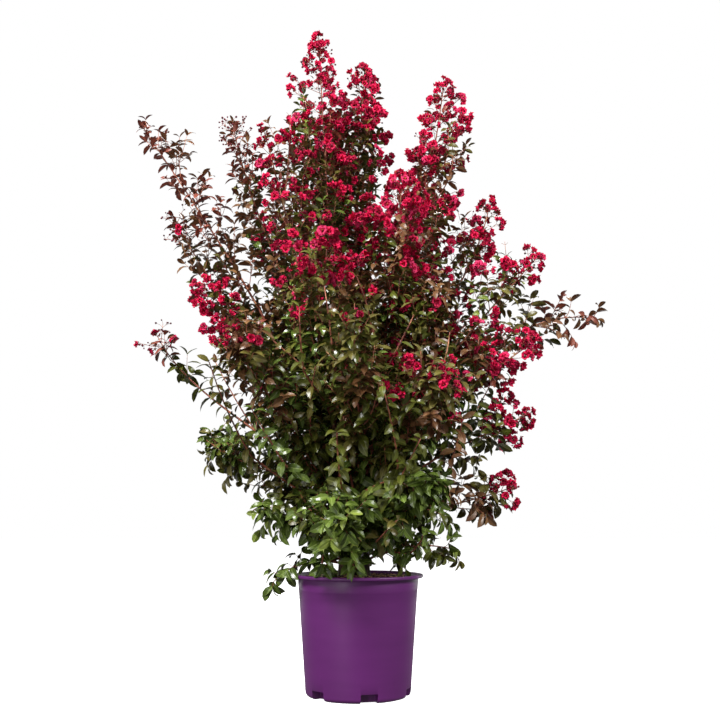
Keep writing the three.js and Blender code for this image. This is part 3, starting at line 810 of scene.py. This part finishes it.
# Leaves, beside their usual size: the least and the most. Low ones are longer and hang, and high ones shorter
# and narrower.
LEAF_LENGTHS = (0.76, 1.12)
LEAF_BREADTHS = (0.88, 1.1)
LEAF_CURLS = (0.6, 1.5)  # how far a blade bends from its base to its tip, in radians
LEAF_CLIMB = (0.4, 0.6)  # the height in metres where leaves begin to change, and that over which they do
LENGTHS_BY_HEIGHT = (1.18, 0.9)
BREADTH_CLIMB = (0.7, 0.6)
BREADTHS_BY_HEIGHT = (1.0, 0.94)
LEAF_DROOP = 0.45
LEAF_OUTWARD = 0.15  # how far a blade faces away from the plant's axis
LEAF_SCATTER = 0.42
LEAF_SPLAY = (44, 70)  # degrees between a leaf and its twig

TWIG_SPLAY = 52  # degrees between a leafy twig and its shoot
TWIG_REACHES = (0.72, 1.04)
FALL_BACKS = (1, 0.7, 0.45)  # the shares of its reach that a twig tries until it finds room
SHORTEST_TWIG = 12
STEEP_LIFT = (0.7, 1.9)  # how far a twig turns up, on a steep shoot and on a flat one
FLAT_LIFT = (-0.5, 0.9)
FORKED_TWIG = 42  # a twig longer than this carries side twigs
OPEN_FORKED_TWIG = 64
SIDE_REACHES = (0.36, 0.55)  # of side twigs, as shares of their twig's reach
FLOWERING_REACHES = (16, 42)  # of the flowering twig that ends a leafy one
CYME_LIMIT = 1.2  # how far out a cyme may stand, as a share of its shoot's spread
CYME_STALKS = (5, 13)
CYME_ARMS = (6, 15)  # between a flowering twig and its side cymes
FLOWER_SIZES = (0.85, 1.12)
BUD_SIZES = (0.7, 1.15)


def scatter(random, amount):
    return Vector((random.gauss(0, 1), random.gauss(0, 1), random.gauss(0, 1))) * amount


def tint_of(shoot, point, tipness):
    """The tint of one spray: greener low down and inside, and more flushed towards the light and the tips.
    The masses that hide their own limbs and bear no panicle stop short of maroon."""
    height = climb(point.z, *TINT_CLIMB)
    anywhere, high_up, at_tip = FLUSH_SHARES
    flush = shoot.flush * (anywhere + high_up * height + at_tip * tipness) + HIGH_FLUSH * height
    flush += shoot.random.gauss(0, FLUSH_SCATTER)
    if shoot.flush < 0.5 and shoot.random.random() < FRESH_SHARE:
        return "fresh_green"
    warmest = len(TINTS) - (1 if shoot.bare or shoot.bloom else 2)
    return TINTS[min(warmest, max(0, int(flush * len(TINTS))))]


def grow_leaf(random, tint, root, along, above, size):
    """One leaf: it stands off its twig, faces a little outwards, and its blade arches down to its tip."""
    if tint == "deep_green" and root.z < GOLD_TOP and random.random() < GOLD_SHARE:
        tint = "gold"
    height = climb(root.z, *LEAF_CLIMB)
    along = (along - UP * LEAF_DROOP * (1 - height)).normalized()
    length = LEAF_LENGTH * MM * size * random.uniform(*LEAF_LENGTHS) * lerp(*LENGTHS_BY_HEIGHT, height)
    if not within_box(root + along * length * 0.9):
        return
    breadth = lerp(*BREADTHS_BY_HEIGHT, climb(root.z, *BREADTH_CLIMB))
    width = length * LEAF_WIDTH / LEAF_LENGTH * breadth * random.uniform(*LEAF_BREADTHS)
    outwards = Vector((root.x, root.y, 0)).normalized()
    above = above.normalized() + outwards * LEAF_OUTWARD + scatter(random, LEAF_SCATTER)
    above = (above - along * above.dot(along)).normalized()
    curl = random.uniform(*LEAF_CURLS)
    leaves.setdefault(tint, []).append((root, along, above, length, width, curl))


def point_along(line, share):
    """A point on a line of evenly spaced points."""
    place = min(max(share, 0), 1) * (len(line) - 1)
    hop = min(len(line) - 2, int(place))
    return line[hop].lerp(line[hop + 1], place - hop)


def grow_leaves_along(random, line, tint, size, spacing, first):
    """Pairs of leaves up a twig, and a young pair at its tip. On an upright twig each pair stands across the
    one below it, and on a level twig they lie in two ranks. The blades face up the twig and up to the sky.
    The first share of the twig is bare."""
    length = sum((b - a).length for a, b in zip(line, line[1:]))
    pairs = max(1, round(length * (1 - first) / spacing))
    phase = random.uniform(0, FULL_TURN)
    for i in range(pairs):
        share = first + (1 - first) * (i + 0.5) / pairs
        way = (point_along(line, min(1, share + 0.05)) - point_along(line, max(0, share - 0.05))).normalized()
        upright = climb(way.z, 0.45, 0.35)
        side = way.cross(UP) if abs(way.z) < 0.95 else Vector((1, 0, 0))
        turn = random.gauss(0, 0.35) + upright * (phase + i * pi / 2)
        side = (Matrix.Rotation(turn, 3, way) @ side).normalized()
        for hand in (-1, 1):
            root = point_along(line, share + hand * random.uniform(0, 0.12) / pairs)
            splay = radians(random.uniform(*LEAF_SPLAY) + upright * random.uniform(0, 10))
            along = (way * cos(splay) + side * hand * sin(splay)).normalized()
            grow_leaf(random, tint, root, along, way * 0.7 + UP * 0.8, size * lerp(1.06, 0.84, share))
    tip_way = (line[-1] - line[-2]).normalized()
    for hand in (-1, 1):
        across = Vector((tip_way.y, -tip_way.x, 0.01)).normalized() * hand
        along = (tip_way + across * 0.5).normalized()
        grow_leaf(random, tint, line[-1], along, across * -0.8 + UP * 0.4, size * 0.74)


def grow_twig(points, *radii):
    """A thin twig or a stalk, with its radius at each point."""
    twigs.append((points, [radius * MM for radius in radii]))


def grow_cyme(shoot, root, way, openness, size=1.0):
    """One to three stalks from one point. Each ends in a flower or in a round bud."""
    random = shoot.random
    if depths(root)[SHOOT_LIST.index(shoot)] > CYME_LIMIT:
        return
    for _ in range(random.choice((1, 2, 2, 3))):
        facing = (way + scatter(random, 0.6)).normalized()
        end = root + facing * random.uniform(*CYME_STALKS) * MM * size
        grow_twig([root, end], STALK_RADIUS, STALK_RADIUS * 0.8)
        if random.random() < openness:
            turn = random.uniform(0, FULL_TURN)
            flowers.append((end, facing, turn, size * random.uniform(*FLOWER_SIZES), random.random()))
        else:
            buds.append((end + facing * BUD_RADIUS * MM * 0.8, facing, random.uniform(*BUD_SIZES)))


def grow_flowering_twig(shoot, root, way, reach, openness, size=1.0):
    """A twig of a panicle: a cyme at its tip, and pairs of cymes on short stalks along it."""
    random = shoot.random
    tip = root + way * reach + UP * reach * 0.15
    middle = root.lerp(tip, 0.5) - UP * reach * 0.04
    grow_twig([root, middle, tip], TWIG_RADIUS * 0.8, TWIG_RADIUS * 0.6, TWIG_TIP_RADIUS)
    grow_cyme(shoot, tip, way, openness, size)
    across = way.cross(UP).normalized()
    for pair in range(int(reach > 14 * MM) + int(reach > 38 * MM)):
        foot = root.lerp(tip, 0.78 - 0.34 * pair)
        for hand in (-1, 1):
            side = (way + across * hand * 1.2 + scatter(random, 0.3)).normalized()
            end = foot + side * random.uniform(*CYME_ARMS) * MM * size
            grow_twig([foot, end], STALK_RADIUS * 1.2, STALK_RADIUS)
            grow_cyme(shoot, end, side, openness, size)


def outward(shoot, share, turn, splay):
    """A direction that leaves the shoot, turned round it by `turn` and `splay` away from its heading."""
    along = shoot.heading(share)
    side = (shoot.across - along * shoot.across.dot(along)).normalized()
    across = side * cos(turn) + along.cross(side) * sin(turn)
    return along * cos(splay) + across * sin(splay)


def grow_side_twig(shoot, foot, way, reach, tint, size):
    """A short leafy twig that leaves a long one, and bends up."""
    line = [foot + way * reach * s + UP * reach * 0.25 * s * s for s in (0, 0.5, 1)]
    grow_twig(line, TWIG_RADIUS * 0.75, TWIG_RADIUS * 0.6, TWIG_TIP_RADIUS)
    grow_leaves_along(shoot.random, line, tint, size * 0.92, shoot.node_spacing * 0.9, 0.15)


def grow_leafy_twig(shoot, share, turn):
    """A leafy twig that leaves its shoot sideways, turns up towards the light, and reaches out to the edge of
    its shoot's space, or less far where there isn't room. A long one carries side twigs, and some end in
    flowers."""
    random = shoot.random
    root = shoot.at(share)
    splay = radians(TWIG_SPLAY + random.gauss(0, 8))
    way = outward(shoot, share, turn, splay)
    full = shoot.spread * girth(share) / sin(splay) - LEAF_LENGTH * MM * 0.55
    full *= random.uniform(*TWIG_REACHES) * (1 + shoot.lean * way.x)
    steep = shoot.heading(share).z > 0.6 and root.z > 0.38
    rising = (way + UP * random.uniform(*(STEEP_LIFT if steep else FLAT_LIFT))).normalized()
    for fall_back in FALL_BACKS:
        reach = full * fall_back
        tip = root + rising * reach
        if reach > SHORTEST_TWIG * MM and keeps_to_space(shoot, tip) and within_box(tip):
            break
    else:
        return
    line = [bezier([root, root + way * reach * 0.55, tip], s / 4) for s in range(5)]
    thickness = 0.8 + reach * 4
    twigs.append((line, [lerp(TWIG_RADIUS, TWIG_TIP_RADIUS, s / 4) * MM * thickness for s in range(5)]))
    tint = tint_of(shoot, line[-1], share)
    size = (1.04 - 0.16 * shoot.flush * share) * (1.18 if shoot.open else 1)
    flowering = random.random() < shoot.flowering
    grow_leaves_along(random, line, tint, size, shoot.node_spacing, 0.2)
    if reach > (OPEN_FORKED_TWIG if shoot.open else FORKED_TWIG) * MM:
        across = way.cross(UP).normalized()
        for hand in (-1, 1):
            foot = point_along(line, 0.36 + 0.16 * random.random())
            side_way = (way + across * hand * 1.1 + UP * random.uniform(0.1, 1.4)).normalized()
            grow_side_twig(shoot, foot, side_way, reach * random.uniform(*SIDE_REACHES), tint, size)
    if flowering:
        end_reach = random.uniform(*FLOWERING_REACHES) * MM
        grow_flowering_twig(shoot, line[-1], way, end_reach, shoot.opened)


def sprig_radii(count):
    return [lerp(*SPRIG_RADII, i / count) * MM for i in range(count + 1)]


def grow_sprigs(shoot):
    """Side stems that leave a shoot low down, bend up and stand near the edge of its space, with pairs of
    leaves."""
    random = shoot.random
    for i in range(SPRIGS):
        turn = i * 2 * pi / SPRIGS + random.uniform(0, 0.9)
        low = random.uniform(0, 0.2)
        high = random.uniform(0.66, 0.96)
        line = []
        for step in range(9):
            share = lerp(low, high, step / 8)
            stand_off = shoot.spread * girth(share) * 0.86 * min(1, step / 4) ** 0.7
            line.append(shoot.at(share) + outward(shoot, share, turn, pi / 2) * stand_off)
        if not within_box(line[-1]):
            continue
        twigs.append((line, sprig_radii(8)))
        grow_leaves_along(random, line, tint_of(shoot, line[5], 0.7), 0.92, shoot.node_spacing, 0.3)


def grow_leafy_tip(shoot, *shares):
    """Pairs of young leaves, close together at the tip of a shoot."""
    line = [shoot.at(share) for share in shares]
    tint = tint_of(shoot, line[-1], 1)
    grow_leaves_along(shoot.random, line, tint, 0.85, TIP_NODE_SPACING * MM, 0.1)


def grow_panicle(shoot, end):
    """Flowering twigs, shorter towards the tip, with a few small leaves among them."""
    random = shoot.random
    start = 1 - shoot.bloom
    count = max(3, round(shoot.length * (end - start) / (FLOWER_SPACING * MM)))
    for i in range(count):
        share = (i + 0.3) / count
        place = lerp(start, end, share)
        splay = radians(lerp(*PANICLE_SPLAY, share) + random.gauss(0, 7))
        way = outward(shoot, place, i * GOLDEN_ANGLE, splay)
        reach = min(LONGEST_FLOWERING_TWIG * MM, shoot.spread * min(0.57, 0.05 + 1.3 * (1 - share)))
        reach *= random.uniform(0.65, 1.05) * (1 + 0.5 * shoot.lean * way.x)
        grow_flowering_twig(shoot, shoot.at(place), way, reach, shoot.opened, lerp(1, 0.8, share))
        for hand in range(3):
            if random.random() < 0.85 - 0.4 * share:
                leaf_way = outward(shoot, place, i * GOLDEN_ANGLE + 1.2 + hand * 2.1, radians(56))
                root = shoot.at(place) + leaf_way * reach * random.uniform(0, 0.7)
                tint = tint_of(shoot, root, 1)
                grow_leaf(random, tint, root, leaf_way, UP, random.uniform(0.42, 0.75))


def grow_shoot(shoot):
    """The foliage of one shoot: its own stem, leafy twigs up it, and the panicle at its tip."""
    random = shoot.random
    if shoot.name.startswith(("front_", "heart_", "rear_")):
        grow_sprigs(shoot)
    leafy_end = 1 - shoot.bloom * 0.86 if shoot.bloom else 0.97
    end = 1 - 12 * MM / shoot.length
    steps = 16
    twigs.append(([shoot.at(i / steps * end) for i in range(steps + 1)], sprig_radii(steps)))
    count = max(2, round(shoot.length * leafy_end / (TWIG_SPACING * MM) * shoot.fullness))
    for i in range(count):
        grow_leafy_twig(shoot, (i + 0.4) / count * leafy_end, i * GOLDEN_ANGLE + random.gauss(0, 0.2))
    if shoot.open:
        line = [shoot.at(leafy_end * i / 8) for i in range(9)]
        tint = tint_of(shoot, line[5], 0.6)
        grow_leaves_along(random, line, tint, 1.1, OPEN_NODE_SPACING * MM, 0.1)
    if not shoot.bloom:
        grow_leafy_tip(shoot, 0.86, 0.93, end)
        return
    grow_panicle(shoot, end)
    if shoot.name in LEAFY_TIPS:
        grow_leafy_tip(shoot, 0.9, 0.95, end)
    else:
        grow_cyme(shoot, shoot.at(end), shoot.heading(1), 0.8, 0.8)


# -------------------- meshes of the small things


def dress_foliage(piece, material, slot="blossom_and_leaf"):
    dress(piece, material, slot, *FOLIAGE_NODES)


def make_twigs():
    """Every twig and flower stalk, joined. The thin ones have three sides."""
    vertices, faces, count = [], [], 0
    for points, radii in twigs:
        sides = 5 if radii[0] > 1.4 * MM else 3
        ring_vertices, ring_faces = tube(points, radii, sides)
        vertices.append(ring_vertices)
        faces.extend([corner + count for corner in face] for face in ring_faces)
        count += len(ring_vertices)
    piece = piece_from_arrays("twigs", np.vstack(vertices), faces)
    dress_foliage(piece, smooth_bark("crape_myrtle_twig", "#642e24", "#92503a", "#ac7454"), "bough_bark")


# Rows across a leaf, between its base and its tip: (share of the length, share of the half width).
LEAF_ROWS = [(0.1, 0.44), (0.32, 0.9), (0.58, 1), (0.83, 0.66)]
LEAF_FOLD = 0.3  # how far a blade's edges stand over its midrib, as a share of the half width


def leaf_template():
    """(along, across) of each corner of a leaf, as shares of its length and its half width, and its faces:
    two quads between the rows, and two triangles at each end."""
    corners = [(0, 0)]
    for along, half in LEAF_ROWS:
        corners += [(along, half), (along, 0), (along, -half)]
    faces = [[0, 2, 1], [0, 3, 2]]
    last = len(corners) - 3
    for a in range(1, last, 3):
        faces += [[a, a + 1, a + 4, a + 3], [a + 1, a + 2, a + 5, a + 4]]
    faces += [[last, last + 1, last + 3], [last + 1, last + 2, last + 3]]
    return np.array(corners + [(1, 0)]), faces


def make_leaves(tint, material, slot):
    """All the leaves of one tint, joined. Each blade bends along an arc and folds along its midrib."""
    rows = leaves[tint]
    root, along, above = (np.array([row[i][:] for row in rows])[:, None] for i in range(3))
    length, width, curl = (np.array([row[i] for row in rows])[:, None] for i in (3, 4, 5))
    side = np.cross(above, along)
    shape, faces = leaf_template()
    reach, across = shape[None, :, 0], shape[None, :, 1]
    forward = np.sin(curl * reach) / curl * length
    drop = (1 - np.cos(curl * reach)) / curl * length
    sideways = across * width / 2
    rise = np.abs(sideways) * LEAF_FOLD - drop
    vertices = root + along * forward[..., None] + side * sideways[..., None] + above * rise[..., None]
    joined = copies_of(faces, len(shape), len(rows))
    piece = piece_from_arrays(f"leaves_{tint}", vertices.reshape(-1, 3), joined)
    add_leaf_map(piece.data, shape)
    dress_foliage(piece, material, slot)


def add_leaf_map(mesh, shape):
    """A map of each leaf, with its length along U and its width across V, and a crease along each midrib."""
    corners = np.empty(len(mesh.loops), dtype=int)
    mesh.loops.foreach_get("vertex_index", corners)
    flat = shape[corners % len(shape)] * (1, 0.5) + (0, 0.5)
    mesh.uv_layers.new(name="leaf").data.foreach_set("uv", flat.ravel())
    ends = np.empty(len(mesh.edges) * 2, dtype=int)
    mesh.edges.foreach_get("vertices", ends)
    on_rib = shape[ends.reshape(-1, 2) % len(shape), 1] == 0
    crease = mesh.attributes.new("sharp_edge", "BOOLEAN", "EDGE")
    crease.data.foreach_set("value", on_rib.all(axis=1))


PETAL_CLAW = [(0.6, -0.7, 0), (0.6, 0.7, 0), (3.4, 0, 1.0)]  # its two roots and its tip, in millimetres
PETAL_MIDDLE = (6.2, 0, 1.8)
PETAL_RADII = (5.0, 7.2)
PETAL_FRILLS = 7
FRILL_HEIGHTS = (-1.2, 1.5)
OUTER_PETALS = 6
INNER_PETALS = 3
OUTER_TILTS = (14, 28)  # degrees over the level
INNER_TILT = 62
INNER_SCALE = 0.62


def petal_shape(random):
    """The corners and faces of one petal: a narrow claw and a round, frilled blade."""
    corners = PETAL_CLAW + [PETAL_MIDDLE]
    for i in range(PETAL_FRILLS):
        angle = pi + 2 * pi * (i + 1) / (PETAL_FRILLS + 1)
        frill = FRILL_HEIGHTS[i % 2] * random.uniform(0.6, 1.3)
        corners.append((
            PETAL_MIDDLE[0] + PETAL_RADII[0] * cos(angle) * random.uniform(0.85, 1.12),
            PETAL_RADII[1] * sin(angle) * random.uniform(0.85, 1.12),
            PETAL_MIDDLE[2] + frill,
        ))
    edge = [2, *range(4, 4 + PETAL_FRILLS), 2]
    return np.array(corners), [[0, 1, 2]] + [[3, a, b] for a, b in zip(edge, edge[1:])]


def flower_template():
    """Six petals round a flower's axis, and three smaller ones that stand up inside them, in metres."""
    random = Random(3)
    places = [(k * pi / 3, OUTER_TILTS[k % 2], 1) for k in range(OUTER_PETALS)]
    places += [(0.5 + k * pi * 2 / 3, INNER_TILT, INNER_SCALE) for k in range(INNER_PETALS)]
    vertices, joined = [], []
    for k, (turn, tilt, scale) in enumerate(places):
        corners, faces = petal_shape(random)
        place = Matrix.Rotation(turn, 3, "Z") @ Matrix.Rotation(-radians(tilt), 3, "Y") * scale
        vertices.append(corners @ np.array(place).T)
        joined += [[corner + k * len(corners) for corner in face] for face in faces]
    whole = FLOWER_RADIUS / (PETAL_MIDDLE[0] + PETAL_RADII[0])
    return np.vstack(vertices) * MM * whole, joined


def facing_frame(place, facing, turn, size):
    """A matrix that sets +Z along a direction, turned about it."""
    rotation = facing.to_track_quat("Z", "Y").to_matrix().to_4x4()
    return Matrix.Translation(place) @ rotation @ Matrix.Rotation(turn, 4, "Z") @ Matrix.Diagonal((*size, 1))


def solid_template(kind, **sizes):
    """The vertices and faces of a small closed shape that an operator draws."""
    deselect_all()
    getattr(bpy.ops.mesh, kind)(**sizes)
    return take_shape(bpy.context.object)


def cone_template(vertices, foot_radius, top_radius):
    return solid_template(
        "primitive_cone_add",
        vertices=vertices, radius1=foot_radius * MM, radius2=top_radius * MM, depth=4 * MM,
    )


# Each shade of petal: the openness that it reaches up to, its material, and its deep and bright colours,
# which are its painted shade in the hollows of its crinkles and its painted light on their crests.
PETAL_SHADES = {
    "crimson": (0.55, "crape_petal_crimson", "#b60a3c", "#c8144a"),
    "deep_crimson": (0.85, "crape_petal_deep", "#880a2e", "#ac0e3c"),
    "rose": (1, "crape_petal_rose", "#b41c4a", "#c83462"),
}


def make_flowers():
    """The open flowers, in three shades, with their stamens and the cups behind them. A flower that has just
    opened is narrower and deeper."""
    frames = {name: [] for name in PETAL_SHADES}
    for place, facing, turn, size, openness in flowers:
        name = next(name for name, (limit, *_) in PETAL_SHADES.items() if openness < limit)
        flat = size * lerp(0.8, 1.0, openness)
        sizes = (flat, flat, size * (1.6 - 0.6 * openness))
        frames[name].append(facing_frame(place, facing, turn, sizes))
    template = flower_template()
    for name, (_, *finish) in PETAL_SHADES.items():
        piece = stamp(f"petals_{name}", template, frames[name], smooth=False)
        dress_foliage(piece, petal(*finish))
    parts = [
        # The two colours of the cups and of the stamens are painted shade in the hollows of their crinkles
        # and painted light on their crests.
        ("flower_cups", 0, cone_template(6, 0.7, 2.2), petal("flower_cup", "#3a1c1c", "#5d3026")),
        ("stamens", 3.4, cone_template(5, 0.4, 1.1), petal("stamen", "#b8862a", "#e0b84a")),
    ]
    for name, lift, shape, material in parts:
        places = [
            facing_frame(place + facing * lift * MM, facing, turn, (1, 1, 1))
            for place, facing, turn, *_ in flowers
        ]
        dress_foliage(stamp(name, shape, places), material)


def make_buds():
    """Round flower buds, dark red where they swell."""
    bud = solid_template("primitive_ico_sphere_add", subdivisions=1, radius=BUD_RADIUS * MM)
    frames = [facing_frame(place, facing, 0, (size, size, size * 1.12)) for place, facing, size in buds]
    # The bud's two colours are painted shade in the hollows of its crinkles and painted light on their
    # crests.
    dress_foliage(stamp("flower_buds", bud, frames), petal("flower_bud", "#33141a", "#6a2230"))


# Each tint of leaf: its slot, the dark and the light of its blade, its midrib, and how rough its skin is.
LEAF_TINTS = {
    "deep_green": ("foliage_green", "#3a4a16", "#5c6e2c", "#909e5c", 0.27),
    "mid_green": ("foliage_green", "#3a3c11", "#50561c", "#7c8143", 0.29),
    "fresh_green": ("foliage_green", "#566426", "#788638", "#a2a85e", 0.32),
    "olive": ("foliage_bronze", "#484118", "#5d5827", "#7c7443", 0.32),
    "bronze": ("foliage_bronze", "#5a3722", "#6e4f2f", "#866746", 0.36),
    "maroon": ("foliage_bronze", "#5c2820", "#7e4232", "#985e4a", 0.38),
    "gold": ("foliage_green", "#b06a18", "#d08c28", "#e0b060", 0.45),
}


def make_foliage():
    for shoot in SHOOT_LIST:
        grow_shoot(shoot)
    make_twigs()
    for tint, (slot, *finish) in LEAF_TINTS.items():
        make_leaves(tint, living_leaf(f"leaf_{tint}", *finish), slot)
    make_flowers()
    make_buds()


# -------------------- camera, light and floor

CAMERA_PLACE = (0.004, -2.13, 0.38)
CAMERA_TILT = 9  # degrees over the level
SENSOR_WIDTH = 36
LENS = 48.25
ROOM_LIGHT = 0.24  # how strongly the white room lights the plant
FLOOR_SIZE = 24
FLOOR_GLOW = 0.9  # keeps the floor as white as the backdrop

# Each light's place, the point that it faces, its (width, height) in metres, and its power in watts.
LIGHTS = {
    "left soft box": ((-1.4, -1.7, 3.1), (0, 0, 0.7), (1.0, 1.0), 204),
    "right soft box": ((2.2, -1.5, 2.2), (0, 0, 0.75), (1.0, 1.0), 110),
    "back light": ((0.5, 2.0, 3.0), (0, 0, 0.9), (1.2, 1.2), 90),
    "left front strip": ((-1.15, -2.1, 0.42), (0, 0, 0.12), (0.25, 0.8), 10),
    "left side panel": ((-1.7, -0.9, 0.8), (-0.25, 0, 0.5), (0.8, 0.8), 6),
    "left rear panel": ((-1.0, 1.2, 0.45), (0, 0, 0.15), (0.6, 0.9), 3),
    "right rear panel": ((1.0, 1.2, 0.45), (0, 0, 0.15), (0.6, 0.9), 3),
}


def make_camera():
    """Low in front of the plant, and tilted up a little to take in its top."""
    bpy.ops.object.camera_add(location=CAMERA_PLACE, rotation=(radians(90 + CAMERA_TILT), 0, 0))
    camera = bpy.context.object
    camera.data.sensor_width = SENSOR_WIDTH
    camera.data.lens = LENS
    bpy.context.scene.camera = camera


def add_soft_light(name, place, target, size, power):
    """A soft box that faces its target. It isn't seen by the camera itself."""
    bpy.ops.object.light_add(type="AREA", location=place)
    light = bpy.context.object
    light.name = name
    light.visible_camera = False
    light.data.shape = "RECTANGLE"
    light.data.size, light.data.size_y = size
    light.data.energy = power
    light.rotation_euler = (Vector(target) - Vector(place)).to_track_quat("-Z", "Y").to_euler()


def make_room():
    """A white room: the camera sees plain white behind the plant, and the room lights the plant gently."""
    world = bpy.data.worlds.new("white room")
    world.use_nodes = True
    world.node_tree.nodes.clear()
    walls = add_node(world, "Background", {"Color": WHITE, "Strength": ROOM_LIGHT})
    backdrop = add_node(world, "Background", {"Color": WHITE})
    seen = add_node(world, "LightPath").outputs["Is Camera Ray"]
    choice = add_node(world, "MixShader", {0: seen, 1: walls, 2: backdrop})
    add_node(world, "OutputWorld", {"Surface": choice})
    bpy.context.scene.world = world


def make_floor():
    """White paper, lit up to the white behind it. It throws no light or reflection on the plant."""
    deselect_all()
    bpy.ops.mesh.primitive_plane_add(size=FLOOR_SIZE)
    floor = bpy.context.object
    floor.name = "floor"
    floor.visible_diffuse = False
    floor.visible_glossy = False
    paper, _ = new_material("matt white paper")
    surface = {"Base Color": linear("#f4f4f4"), "Roughness": 0.9}
    glow = {"Emission Color": WHITE, "Emission Strength": FLOOR_GLOW}
    floor.data.materials.append(finish_material(paper, surface | glow))


def make_studio():
    """The room, its floor and its lights: a soft box high at the left front, a weaker one at the right, one
    behind, and low strips and panels that bring out the sides of the pot and of the crown."""
    make_room()
    for name, light in LIGHTS.items():
        add_soft_light(name, *light)
    make_floor()
    bpy.context.scene.view_settings.view_transform = "Standard"


make_camera()
make_studio()
make_pot()
make_mix()
make_chips()
make_wood()
make_foliage()
